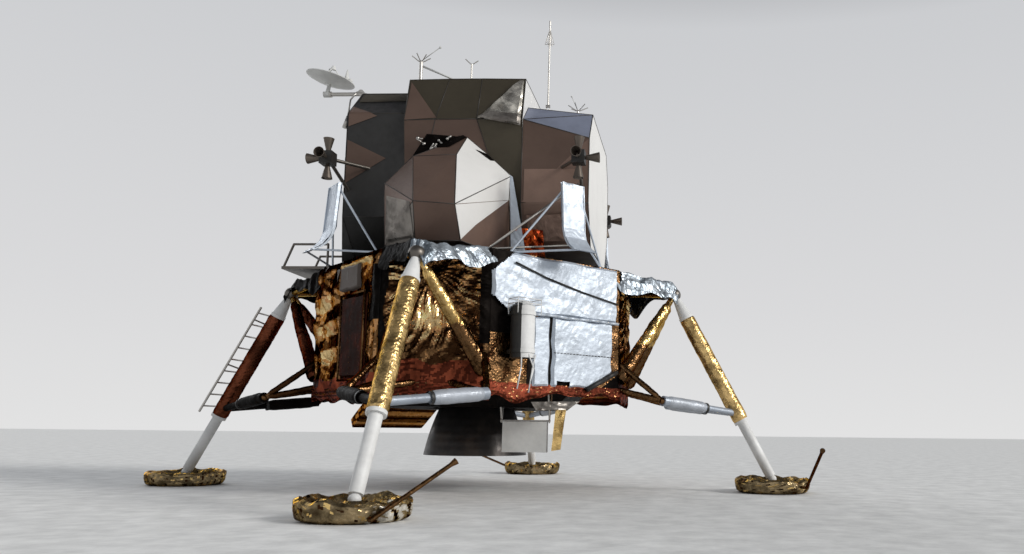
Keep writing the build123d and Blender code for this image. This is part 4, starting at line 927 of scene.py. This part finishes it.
class LANDER_OT_strut_wraps(bpy.types.Operator):
    """Wrap the struts and tubes of the landing gear in foil and sleeves"""

    bl_idname = "lander.strut_wraps"
    bl_label = "Strut wraps"

    def execute(self, context):
        depth = context.scene.lander_sizes.wrap_depth
        side, low_z = STAGE_CORNER - 0.040, STAGE_FLOOR + 0.15
        for number, (name, turn) in enumerate(LEG_TURNS.items()):
            # painted shade: the front leg, on the side away from the lamp, gets dark russet foil on its strut
            # and tubes, umber on its truss and black sleeves
            dark = name == "front"
            piece = wrap(
                "strut_wrap_" + name, between(APEX, BALL, 0.125), between(APEX, BALL, 0.69), 0.103, 0.103,
                depth, 0.05, 200 + number, ["russet" if dark else "strut_gold"], turn=turn)
            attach(piece, "lander")
            for sign in (1, -1):
                label = name + ("_a" if sign > 0 else "_b")
                start = (STAGE_HALF + 0.02, sign * side, low_z + 0.03)
                piece = wrap(
                    "tube_wrap_" + label, start, between(start, APEX, 0.88), 0.085, 0.044, depth * 2.4, 0.09,
                    220 + number * 2 + sign, ["russet" if dark else "brown", "russet" if dark else "gold"],
                    self.half_way(start, turn), turn=turn)
                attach(piece, "lander")
                self.truss_wraps(label, sign, turn, depth, number, dark)
                self.spreader(label, sign, turn, depth, number, name)
        return {"FINISHED"}

    @staticmethod
    def half_way(start, turn):
        """Brown foil on a tube's low half, gold on its high half."""
        middle = turned(np.array(between(start, APEX, 0.42)), turn)

        def choose(centres, normals):
            ragged = 0.03 * drift(centres[:, 0], centres[:, 1], 0.2, 3)
            return (centres[:, 2] + ragged > middle[2]).astype(np.int32)
        return choose

    @staticmethod
    def truss_wraps(label, sign, turn, depth, number, dark):
        """Foil on the three tubes of one deployment truss."""
        tip = truss_tip(sign)
        edge = sign * (STAGE_CORNER - 0.06)
        feet = ((edge, STAGE_FLOOR + 0.42), (edge, STAGE_FLOOR + 0.06), (edge * 0.35, STAGE_FLOOR + 0.06))
        for index, (y, z) in enumerate(feet):
            start = (STAGE_HALF + 0.01, y, z)
            # painted shade: umber on the front leg's truss tubes
            piece = wrap(
                "truss_wrap_%s_%d" % (label, index), start, between(start, tip, 0.9), 0.031, 0.031, depth,
                0.06, 300 + number * 8 + index + sign, ["umber" if dark else "brown"], turn=turn)
            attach(piece, "lander")

    @staticmethod
    def spreader(label, sign, turn, depth, number, name):
        """The sleeve and the dark band on one secondary strut."""
        root, tip = between(APEX, BALL, 0.65), truss_tip(sign)
        # painted shade: black sleeves on the front leg and on the left leg's forward spreader
        dark = name == "front" or (name == "left" and sign < 0)
        piece = wrap(
            "spreader_sleeve_" + label, between(root, tip, 0.47), between(root, tip, 0.94), 0.075, 0.075,
            depth * 0.8, 0.12, 400 + number * 2 + sign, ["black_foil" if dark else "sleeve"], turn=turn)
        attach(piece, "lander")
        piece = wrap(
            "spreader_band_" + label, between(root, tip, 0.43), between(root, tip, 0.46), 0.079, 0.079, 0.002,
            0.1, 480 + number * 2 + sign, ["black"], turn=turn)
        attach(piece, "lander")


class LANDER_OT_pad_wraps(bpy.types.Operator):
    """Cover the footpads with gold foil, gathered round the strut and folded over the rim"""

    bl_idname = "lander.pad_wraps"
    bl_label = "Pad wraps"

    def execute(self, context):
        around = 110
        # radius, height along the pad from its socket out over the rim and down to the ground
        profile = np.array([
            (0.085, 0.180), (0.115, 0.150), (0.135, 0.095), (0.20, 0.072), (0.26, 0.078), (0.34, 0.108),
            (0.42, 0.146), (0.470, 0.186), (0.500, 0.194), (0.516, 0.180), (0.520, 0.150), (0.516, 0.115),
            (0.510, 0.080), (0.502, 0.048), (0.492, 0.022), (0.470, 0.005)])
        share = np.linspace(0, len(profile) - 1, 52)
        radius = np.interp(share, np.arange(len(profile)), profile[:, 0])
        height = np.interp(share, np.arange(len(profile)), profile[:, 1])
        angle = np.linspace(0, 2 * math.pi, around, endpoint=False)
        radius, angle = np.meshgrid(radius, angle, indexing="ij")
        height = np.repeat(height[:, None], around, 1)
        # folds rise on the dish, the inner half of the profile, and swell outwards on the rest
        dish = np.arange(len(radius))[:, None] <= len(radius) * 0.5
        ground_gap = 0.003
        for number, (name, turn) in enumerate(LEG_TURNS.items()):
            x, y = radius * np.cos(angle), radius * np.sin(angle)
            fold = creases(x, y + height, 0.07, 500 + number)
            fold = fold + 0.5 * creases(x, y - height, 0.03, 520 + number)
            lift = 0.026 * fold * fade(radius, 0.09, 0.2)
            off_ground = fade(height, 0.0, 0.06)
            sagging = 0.018 * drift(x, y, 0.3, 540 + number) * fade(radius, 0.3, 0.5)
            grown = radius + np.where(dish, 0.0, lift * off_ground)
            z = np.maximum(height + np.where(dish, lift, 0.0) + sagging * off_ground, ground_gap)
            points = np.stack([BALL[0] + grown * np.cos(angle), grown * np.sin(angle), z], -1)
            piece = add_grid(
                "pad_wrap_" + name, turned(points, turn), ["umber", "pad_gold", "gold", "bright"],
                self.tones(name, number, turn), closed=True)
            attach(piece, "lander")
        return {"FINISHED"}

    @staticmethod
    def tones(name, number, turn):
        """Dark and gold folds of one pad's foil, picked by a random drift and by facing, lighter where a fold
        looks down as painted light; bright ones on the left pad's rear side, towards the lamp, are a painted
        highlight.
        """
        middle = turned(np.array(BALL), turn)

        def choose(centres, normals):
            away = centres[:, :2] - middle[:2]
            angle = np.arctan2(away[:, 1], away[:, 0])
            look = drift(angle * 0.5, centres[:, 2] * 2.0, 0.12, 560 + number) - 0.45 * normals[:, 2]
            index = np.digitize(look, (-0.95, 0.85))
            if name == "left":
                # painted highlight on the side of the left pad that faces the lamp
                rear = (away[:, 0] < -0.2) & (np.abs(away[:, 1]) < 0.42)
                index[rear & (look > -0.2) & (centres[:, 2] < 0.16)] = 3
            return index.astype(np.int32)
        return choose


class LANDER_OT_hoods(bpy.types.Operator):
    """Drape the silver-blue hoods over the upper outrigger tubes"""

    bl_idname = "lander.hoods"
    bl_label = "Hoods"

    def execute(self, context):
        depth = context.scene.lander_sizes.hood_depth
        rows, columns = ((44, 70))
        for number, (name, turn) in enumerate(LEG_TURNS.items()):
            t, s = np.meshgrid(np.linspace(0, 1, rows), np.linspace(-1, 1, columns), indexing="ij")
            run = 2.10 + 0.88 * t
            # half the distance between the two upper tubes, from the stage's wall to the apex
            tube = 0.644 * (1 - np.clip((run - 2.094) / 0.806, 0, 1))
            half = tube + 0.125 + 0.03 * drift(t, s, 0.8, 600 + number)
            y = s * half
            top = 3.110 - 0.10 * t + 0.035 * drift(run, y, 0.5, 660 + number)
            inside = np.clip(np.abs(y) / np.maximum(tube, 0.05), 0, 1)
            z = top - 0.05 * (1 - inside ** 2) * fade(tube, 0.05, 0.3)
            over = np.clip((np.abs(y) - tube - 0.032) / 0.095, 0, 1.4)
            drop = 0.235 - 0.07 * fade(t, 0.55, 0.95) + 0.04 * drift(run, s * 0, 0.4, 670 + number)
            z = z - drop * over ** 1.2
            fold = creases(run * 1.1, y + z, 0.15, 610 + number, 10, 0.8)
            fold = fold + 0.4 * creases(run, y - z, 0.06, 630 + number)
            lift = depth * fold * (0.45 + 0.55 * fade(1 - t, 0, 0.1))
            z = z + lift * (0.9 - 0.5 * np.clip(over, 0, 1)) - 0.03
            y = y + 1.1 * (lift - 0.4 * depth) * np.sign(s) * over
            z = z - 0.10 * fade(t, 0.86, 1.0)
            x = run + 0.02 * drift(s, t, 0.5, 650 + number)
            points = np.stack([x, y, z], -1)[:, ::-1]
            piece = add_grid(
                "hood_" + name, turned(points, turn), ["hood", "hood_shaded", "hood_sunlit", "black_foil"],
                self.chooser(name))
            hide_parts("outrigger_blankets")
            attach(piece, "lander")
        return {"FINISHED"}

    @staticmethod
    def chooser(name):
        """Folds painted light and dark by how far they face the lamp; the front hood is black as painted
        shade, and so is the left one over its forward tube.
        """
        def choose(centres, normals):
            middle, dark, pale, black = range(4)
            # painted light: how far each fold faces the lamp picks its tone
            look = normals @ np.array([-0.55, 0.45, 0.45])
            look = look + 0.12 * drift(centres[:, 0], centres[:, 1], 0.3, 5)
            index = np.array([dark, middle, pale])[np.digitize(look, (0.14, 0.70))]
            if name == "front":
                index[:] = black
            if name == "left":
                wave = 0.05 * drift(centres[:, 0], centres[:, 1], 0.3, 3)
                index[centres[:, 0] + wave > 0.10] = black
            return index.astype(np.int32)
        return choose


class LANDER_OT_skirt(bpy.types.Operator):
    """Hang the ragged copper foil round the foot of the lower stage"""

    bl_idname = "lander.skirt"
    bl_label = "Skirt"

    def execute(self, context):
        rows = 16
        for index in range(8):
            first, along, outward, width = wall_frame(index)
            columns = int(width / (0.026)) + 2
            t, run = np.meshgrid(
                np.linspace(0, 1, rows), np.linspace(-0.02, width + 0.02, columns), indexing="ij")
            drop = (0.13 if index == 3 else 0.19) + 0.04 * drift(run + index * 3, run * 0, 0.45, 700 + index)
            if index == 3:
                # shorter under the silver blankets, but for their forward end
                drop = drop + 0.07 * fade(0.9 - run, 0, 0.4)
            height = STAGE_FLOOR + 0.07 - t * drop
            fold = creases(run + index * 5, height * 1.2, 0.15, 710 + index)
            off = 0.020 + 0.055 * fold * (0.3 + 0.7 * t) - 0.02 * fade(t, 0.75, 1)
            points = on_wall(first, along, outward, run, height, off)
            piece = add_grid("skirt_%d" % index, points, ["copper_shaded", "skirt", "brown"], self.choose)
            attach(piece, "lander")
        return {"FINISHED"}

    @staticmethod
    def choose(centres, normals):
        """Copper folds painted lighter and darker by facing: the shaded copy where a fold looks up, other
        copper tones where it looks down, mixed with a random drift.
        """
        wave = drift(centres[:, 0] + centres[:, 1], centres[:, 2] * 3, 0.13, 9)
        return np.digitize(wave - normals[:, 2], (0.1, 1.2))


class LANDER_OT_panel_seams(bpy.types.Operator):
    """Run thin strips along the edges where the panels of the upper stage meet"""

    bl_idname = "lander.panel_seams"
    bl_label = "Panel seams"

    def execute(self, context):
        radius, shortest = context.scene.lander_sizes.seam_radius, 0.16
        names = (
            "midsection", "tank_fairing_left", "tank_fairing_right", "aft_equipment_bay", "cabin_walls",
            "cabin_front")
        for name in names:
            rods = Rods()
            shape = bmesh.new()
            shape.from_mesh(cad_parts[name].data)
            bmesh.ops.remove_doubles(shape, verts=shape.verts, dist=0.0008)
            for edge in shape.edges:
                if len(edge.link_faces) != 2 or edge.calc_length() < shortest:
                    continue
                if edge.calc_face_angle(0.0) >= (0.10 if name.startswith("tank") else 0.02):
                    rods.bar(edge.verts[0].co, edge.verts[1].co, radius, around=6)
            shape.free()
            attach(rods.build("seams_" + name, "seam"), "lander")
        return {"FINISHED"}


class LANDER_OT_cabin_details(bpy.types.Operator):
    """Add the brown facets on the cabin's sides and the beads round its windows"""

    bl_idname = "lander.cabin_details"
    bl_label = "Cabin details"

    def execute(self, context):
        cabin = surface_of("cabin_walls", "cabin_front")
        # finish and corners in X and Z of the facets that are bare on the black side
        table = (
            ("rose", ((1.645, 5.39), (1.645, 5.39), (1.24, 5.20), (1.64, 5.05))),
            ("rose_high", ((1.645, 4.86), (1.645, 4.86), (1.09, 4.59), (1.645, 4.24))),
            ("olive", ((1.62, 5.69), (0.86, 5.69), (0.86, 5.52), (1.62, 5.50))),
        )
        for side, side_name in ((1, "left"), (-1, "right")):
            for index, (finish_name, corners) in enumerate(table):
                piece = laid_patch(
                    "cabin_facet_%s_%d" % (side_name, index), cabin, corners, side, finish_name, 0.008, 0.006,
                    0.4, 800 + index, smooth=True)
                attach(piece, "lander")
        self.window_frames()
        return {"FINISHED"}

    @staticmethod
    def window_frames():
        """A raised bead round each pane beside the hatch."""
        rods = Rods()
        cabin = surface_of("cabin_front")
        # in Y and Z, and how much wider than the pane the bead runs
        corners, middle, grown = ((0.76, 4.88), (1.02, 4.62), (0.70, 4.33)), (0.827, 4.61), 1.12
        for side in (1, -1):
            loop = []
            for corner, following in zip(corners, corners[1:] + corners[:1]):
                for share in (0.0, 0.5):
                    y, z = (m + (p - m) * grown for m, p in zip(middle, between(corner, following, share)))
                    place, normal, _, _ = cabin.ray_cast(Vector((4.0, side * y, z)), Vector((-1, 0, 0)))
                    if place is not None:
                        loop.append(place + normal * 0.004)
            rods.path(loop + loop[:1], 0.012)
        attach(rods.build("window_frames", "metal"), "lander")


class LANDER_OT_aft_sheets(bpy.types.Operator):
    """Add the loose bright sheets, the red foil and the open recess on the left of the upper stage"""

    bl_idname = "lander.aft_sheets"
    bl_label = "Loose sheets"

    def execute(self, context):
        upper = surface_of("midsection", "tank_fairing_left", "aft_equipment_bay")
        # name, finish, lift, depth, fold, corners in X and Z
        table = (
            ("torn_flap", "bright", 0.012, 0.06, 0.16,
             ((-0.20, 5.12), (-0.80, 5.14), (-0.80, 5.73), (-0.74, 5.73))),
            ("torn_edge", "silvery", 0.030, 0.05, 0.12,
             ((-0.20, 5.13), (-0.80, 5.02), (-0.80, 5.18), (-0.34, 5.22))),
            ("recess_black", "black_foil", 0.012, 0.07, 0.16,
             ((0.70, 4.62), (0.10, 4.63), (-0.07, 4.86), (0.50, 4.91))),
            ("notch", "black_foil", 0.006, 0.01, 0.1,
             ((-0.20, 4.66), (-0.33, 4.63), (-0.44, 4.53), (-0.40, 4.52))),
            # painted sunlight: a pale corner where the fairing faces the lamp
            ("bright_corner", "pale", 0.004, 0.0, 0.3,
             ((-0.282, 3.585), (-0.287, 3.215), (-0.655, 3.975), (-0.655, 3.975))),
            ("aft_middle", "tan", 0.006, 0.006, 0.5,
             ((-0.86, 3.80), (-1.70, 3.80), (-1.66, 4.42), (-0.86, 4.42))),
            ("box_shade", "rose", 0.006, 0.003, 0.5,
             ((0.825, 5.11), (0.37, 5.13), (0.80, 5.72), (0.80, 5.72))),
            ("fairing_low", "silvery", 0.006, 0.03, 0.20,
             ((0.84, 3.90), (0.30, 3.64), (0.30, 3.24), (0.84, 3.26))),
        )
        for index, (name, finish_name, lift, depth, fold, corners) in enumerate(table):
            piece = laid_patch(name, upper, corners, 1, finish_name, lift, depth, fold, 900 + index, 0.022)
            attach(piece, "lander")
        self.valves(upper)
        self.hanging()
        return {"FINISHED"}

    @staticmethod
    def valves(upper):
        """Small pipes and valves in the recess over the left fairing."""
        rods = Rods()
        rng = random.Random(12)
        for _ in range(12):
            x, z = rng.uniform(0.12, 0.62), rng.uniform(4.56, 4.86)
            place, normal, _, _ = upper.ray_cast(Vector((x, FAR_OFF, z)), Vector((0, -1, 0)))
            if place is None:
                continue
            way = Vector((rng.uniform(-1, 1), 0.2, rng.uniform(-1, 1))).normalized()
            base = place + normal * 0.05
            rods.bar(base, base + way * rng.uniform(0.06, 0.16), rng.uniform(0.008, 0.018))
            rods.bead(base, rng.uniform(0.016, 0.034))
        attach(rods.build("recess_valves", "metal"), "lander")

    @staticmethod
    def hanging():
        """The red foil under the aft bay and the sheets that hang beside it."""
        # name, finish, fold depth, the corners top left, top right, bottom right and bottom left
        table = (
            ("red_foil_left", "red", 0.10,
             ((-0.76, 1.14, 3.60), (-1.13, 1.12, 3.57), (-1.16, 1.04, 3.20), (-0.78, 1.06, 3.18))),
            ("aft_sheet_left", "silver", 0.025,
             ((-0.67, 1.22, 4.33), (-0.71, 1.22, 4.30), (-0.90, 1.16, 3.27), (-0.70, 1.16, 3.27))),
            ("aft_low_left", "tan", 0.03,
             ((-0.90, 1.16, 3.78), (-1.72, 1.16, 3.80), (-1.70, 1.02, 3.46), (-0.92, 1.02, 3.44))),
        )
        for index, (name, finish_name, depth, corners) in enumerate(table):
            piece = bent_sheet(name, corners, depth, 0.12, 950 + index, finish_name)
            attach(piece, "lander")


class LANDER_OT_chute_sheets(bpy.types.Operator):
    """Cover the chutes under the down-firing nozzles with silver sheet"""

    bl_idname = "lander.chute_sheets"
    bl_label = "Chute sheets"

    def execute(self, context):
        # out along the diagonal and up, from the top edge to the foot
        line = np.array([
            (2.243, 4.085), (2.256, 3.90), (2.270, 3.70), (2.285, 3.48), (2.335, 3.34), (2.42, 3.23),
            (2.547, 3.137)])
        rows, columns = ((46, 22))
        share = np.linspace(0, len(line) - 1, rows)
        out = np.interp(share, np.arange(len(line)), line[:, 0])
        up = np.interp(share, np.arange(len(line)), line[:, 1])
        for number, turn in enumerate((45, 135, 225, 315)):
            o, s = np.meshgrid(out, np.linspace(-0.172, 0.172, columns), indexing="ij")
            z = np.repeat(up[:, None], columns, 1)
            fold = creases(s, z, 0.16, 1000 + number) + 0.3 * creases(s, z, 0.06, 1010 + number)
            for face, lift, depth in (("outer", 0.010, 0.022), ("inner", -0.004, -0.022)):
                points = np.stack([o + lift + depth * fold, s, z], -1)
                piece = add_grid("chute_%s_%d" % (face, number), turned(points, turn), ["silver"])
                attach(piece, "lander")
        return {"FINISHED"}


class LANDER_OT_small_parts(bpy.types.Operator):
    """Add the thin rods, braces and tips that are too small for the frame"""

    bl_idname = "lander.small_parts"
    bl_label = "Small parts"

    def execute(self, context):
        self.antenna_bits()
        self.cask_frame()
        self.deck_rods()
        self.tray_foil()
        self.floor_strips()
        return {"FINISHED"}

    @staticmethod
    def tray_foil():
        """Crumpled foil round the equipment tray, deep on its outer face and thin where it enters its bay."""
        shape = bmesh.new()
        shape.from_mesh(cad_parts["equipment_tray"].data)
        bmesh.ops.remove_doubles(shape, verts=shape.verts, dist=0.0005)
        bmesh.ops.triangulate(shape, faces=shape.faces[:])
        longest, most_faces = 0.06, 30000
        for _ in range(12):
            long = [e for e in shape.edges if e.calc_length() > longest]
            if not long or len(shape.faces) > most_faces:
                break
            bmesh.ops.subdivide_edges(shape, edges=long, cuts=1)
            bmesh.ops.triangulate(shape, faces=[f for f in shape.faces if len(f.verts) > 3])
        shape.normal_update()
        places = np.array([v.co[:] for v in shape.verts])
        ways = np.array([v.normal[:] for v in shape.verts])
        flat = (places[:, 0] - places[:, 1]) / math.sqrt(2)
        fold = creases(flat, places[:, 2] + (places[:, 0] + places[:, 1]) * 0.5, 0.12, 1200)
        # the outer face looks down and in at 60 degrees from the level
        outer = ways @ np.array([-0.3536, 0.3536, -0.8660]) > 0.9
        places = places + ways * np.where(outer, 0.004 + 0.016 * fold, 0.002 + 0.005 * fold)[:, None]
        # the pin and its lip turn close to the lugs, so they stay bare
        from_pin = np.hypot(flat - FACE_REACH - 0.024, places[:, 2] - STAGE_FLOOR - 0.040)
        faces = np.array([[v.index for v in f.verts] for f in shape.faces])
        faces = faces[from_pin[faces].min(1) > 0.045]
        centres = places[faces].mean(1)
        tones = np.digitize(drift(centres[:, 0] - centres[:, 1], centres[:, 2] * 2, 0.14, 1201), (-0.5, 0.2))
        shape.free()
        piece = add_mesh("tray_foil", places, faces, ["umber", "brown", "amber"], tones)
        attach(piece, "tray")

    @staticmethod
    def floor_strips():
        """Gold foil that hangs beside the landing radar, and loose foil behind the skirt."""
        # name, finish, fold depth, the corners top left, top right, bottom right and bottom left
        table = (
            ("radar_strip", "gold", 0.05,
             ((-1.36, 1.06, 1.24), (-1.50, 1.02, 1.24), (-1.42, 1.02, 0.60), (-1.30, 1.04, 0.58))),
            ("rim_scrap", "silvery", 0.09,
             ((-1.10, 1.50, 1.22), (-1.70, 1.22, 1.24), (-1.56, 1.26, 1.13), (-1.16, 1.44, 1.11))),
        )
        for index, (name, finish_name, depth, corners) in enumerate(table):
            piece = bent_sheet(name, corners, depth, 0.10, 1210 + index, finish_name)
            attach(piece, "lander")

    @staticmethod
    def antenna_bits():
        """Braces and balls on the roof antennas, the radar's feeds and the cabin's side antenna."""
        rods = Rods()
        rods.bar((0.73, 0.86, 6.06), (0.14, 0.86, 5.80), 0.016, 0.012)
        rods.bar((0.76, 0.86, 6.14), (0.46, 0.95, 6.30), 0.006)
        rods.bead((0.46, 0.95, 6.30), 0.018)
        rods.bar((-1.45, 0.30, 5.60), (-1.36, 0.36, 5.80), 0.006)
        rods.bead((-1.36, 0.36, 5.80), 0.016)
        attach(rods.build("antenna_braces", "radar_white"), "lander")
        rods = Rods()
        low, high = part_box("radar_dish")
        hub = (low + high) / 2
        for x, rise in ((hub.x + 0.04, 0.25), (hub.x - 0.25, 0.23)):
            foot = (x, 0.0, low.z + 0.215)
            rods.bar(foot, (x - 0.01, 0.0, foot[2] + rise), 0.055, 0.008)
            rods.bead((x - 0.06, 0.0, foot[2] + 0.05), 0.035)
        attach(rods.build("radar_feeds", "radar_white"), "radar_dish")
        rods = Rods()
        route = [(1.55, 0.66, 5.72), (1.74, 0.72, 5.74), (1.82, 0.74, 5.62), (1.84, 0.76, 5.36)]
        rods.path(route, 0.012)
        rods.bar((1.84, 0.76, 5.36), (1.86, 0.78, 5.18), 0.020, 0.045)
        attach(rods.build("side_antenna", "metal"), "lander")

    @staticmethod
    def cask_frame():
        """The light frame round the cask's top and the cables at its foot."""
        low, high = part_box("fuel_cask")
        middle = (low + high) / 2
        rods = Rods()
        way = Vector((-1, 1, 0)).normalized()
        side = Vector((way.y, -way.x, 0))
        corners = [Vector((middle.x, middle.y, 0)) + way * a + side * b
                   for a, b in ((0.19, 0.17), (0.19, -0.17), (-0.02, -0.17), (-0.02, 0.17))]
        for z in (high.z - 0.03, high.z + 0.03):
            rods.path([c + Vector((0, 0, z)) for c in corners + corners[:1]], 0.006, 6)
        for corner in corners:
            top = corner + Vector((0, 0, high.z + 0.03))
            rods.bar(corner + Vector((0, 0, high.z - 0.16)), top, 0.006, around=6)
        for share, sag in ((0.2, 0.10), (0.5, 0.02), (0.8, 0.14)):
            top = corners[0].lerp(corners[1], share) + Vector((0, 0, low.z + 0.04))
            knee = top + way * 0.03 + side * (sag - 0.08) + Vector((0, 0, -0.17))
            rods.path([top, knee, knee + side * 0.05 + Vector((0, 0, -0.16 - sag))], 0.009, 6)
        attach(rods.build("cask_frame", "white"), "lander")

    @staticmethod
    def deck_rods():
        """Thin struts between the two stages on each side."""
        rods = Rods()
        for side in (1, -1):
            rods.bar((-0.60, side * 2.05, DECK_TOP), (-1.62, side * 1.24, 4.20), 0.016)
            rods.bar((-0.50, side * 2.06, DECK_TOP), (-1.70, side * 0.95, 3.42), 0.014)
        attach(rods.build("deck_struts", "metal"), "lander")


class LANDER_OT_studio(bpy.types.Operator):
    """Set up the floor, the lamps, the world and the camera"""

    bl_idname = "lander.studio"
    bl_label = "Studio"

    def execute(self, context):
        scene = context.scene
        scene.view_settings.view_transform = "Standard"
        self.floor()
        self.world(scene)
        self.lamp("key_lamp", (-0.86, 0.28, 0.42), 18.0, 2.05, (1.0, 0.98, 0.94))
        self.lamp("fill_lamp", (0.62, -0.62, 0.48), 40.0, 0.70, (0.96, 0.98, 1.0))
        self.camera(scene)
        return {"FINISHED"}

    @staticmethod
    def floor():
        """A wide plain floor."""
        half = 150.0
        corners = [(-half, -half, 0), (half, -half, 0), (half, half, 0), (-half, half, 0)]
        add_mesh("floor", corners, [(0, 1, 2, 3)], ["floor"])

    @staticmethod
    def world(scene):
        """Soft even light, and a pale backdrop for what is seen and mirrored."""
        world = bpy.data.worlds.new("studio")
        world.use_nodes = True
        scene.world = world
        tree = world.node_tree
        tree.nodes.clear()
        place = add_node(tree, "TexCoord").outputs["Generated"]
        upwards = add_node(tree, "SeparateXYZ", links={"Vector": place}).outputs["Z"]
        stops = ((0.0, (0.76, 0.76, 0.76)), (0.14, (0.70, 0.70, 0.71)), (0.45, (0.60, 0.61, 0.63)),
                 (0.60, (0.16, 0.165, 0.18)), (1.0, (0.04, 0.04, 0.05)))
        soft = add_node(tree, "Background", {"Color": (0.92, 0.95, 1.0, 1), "Strength": 0.40})
        backdrop = add_node(tree, "Background", links={"Color": ramp(tree, upwards, stops)})
        rays = add_node(tree, "LightPath").outputs
        seen = rays["Is Camera Ray"]
        for kind in ("Is Glossy Ray", "Is Transmission Ray"):
            either = add_node(tree, "Math", links={0: seen, 1: rays[kind]})
            either.operation = "MAXIMUM"
            seen = either.outputs[0]
        mix = add_node(tree, "MixShader", links={"Fac": seen, 1: soft.outputs[0], 2: backdrop.outputs[0]})
        add_node(tree, "OutputWorld", links={"Surface": mix.outputs[0]})

    @staticmethod
    def lamp(name, towards, width, strength, colour):
        """A broad distant lamp, given by the way towards it and its width in degrees."""
        light = bpy.data.lights.new(name, "SUN")
        light.angle = math.radians(width)
        light.energy = strength
        light.color = colour
        lamp = bpy.data.objects.new(name, light)
        lamp.rotation_euler = Vector(towards).to_track_quat("Z", "Y").to_euler()
        bpy.context.scene.collection.objects.link(lamp)

    @staticmethod
    def camera(scene):
        """The camera, at the photograph's place and angle."""
        place = Vector((-3.218, 12.218, 0.862))
        yaw, pitch, roll = -1.5282, 0.1090, 0.0102
        ahead = Vector((math.cos(yaw) * math.cos(pitch), math.sin(yaw) * math.cos(pitch), math.sin(pitch)))
        level = Vector((math.sin(yaw), -math.cos(yaw), 0.0))
        above = level.cross(ahead)
        right = level * math.cos(roll) + above * math.sin(roll)
        up = above * math.cos(roll) - level * math.sin(roll)
        lens = bpy.data.cameras.new("camera")
        lens.sensor_width = 36.0
        lens.lens = 29.25
        lens.shift_x = -0.1445
        lens.shift_y = 0.0615
        lens.clip_end = 500.0
        camera = bpy.data.objects.new("camera", lens)
        rows = [(right[i], up[i], -ahead[i], place[i]) for i in range(3)] + [(0, 0, 0, 1)]
        camera.matrix_world = Matrix(rows)
        scene.collection.objects.link(camera)
        scene.camera = camera


OPERATORS = (
    LANDER_OT_finishes, LANDER_OT_bay_foil, LANDER_OT_bay_blankets, LANDER_OT_strut_wraps,
    LANDER_OT_pad_wraps, LANDER_OT_hoods, LANDER_OT_skirt, LANDER_OT_panel_seams, LANDER_OT_cabin_details,
    LANDER_OT_aft_sheets, LANDER_OT_chute_sheets, LANDER_OT_small_parts, LANDER_OT_studio)


class LANDER_PT_dressing(bpy.types.Panel):
    """The lander's pieces, sizes and colours"""

    bl_idname = "LANDER_PT_dressing"
    bl_label = "Lander"
    bl_space_type = "VIEW_3D"
    bl_region_type = "UI"
    bl_category = "Lander"

    def draw(self, context):
        for group in (context.scene.lander_sizes, context.scene.lander_colours):
            for name in group.bl_rna.properties.keys():
                if name not in ("rna_type", "name"):
                    self.layout.prop(group, name)
        for operator in OPERATORS:
            self.layout.operator(operator.bl_idname)


CLASSES = (LanderSizes, LanderColours, *OPERATORS, LANDER_PT_dressing)


def register():
    """Make the classes known and give the scene its sizes and colours."""
    for item in CLASSES:
        bpy.utils.register_class(item)
    bpy.types.Scene.lander_sizes = bpy.props.PointerProperty(type=LanderSizes)
    bpy.types.Scene.lander_colours = bpy.props.PointerProperty(type=LanderColours)


def unregister():
    """Take the sizes, the colours and the classes away again."""
    del bpy.types.Scene.lander_colours
    del bpy.types.Scene.lander_sizes
    for item in reversed(CLASSES):
        bpy.utils.unregister_class(item)


def main():
    """Dress the lander."""
    register()
    for operator in OPERATORS:
        group, name = operator.bl_idname.split(".")
        getattr(getattr(bpy.ops, group), name)()


if __name__ == "__main__":
    main()
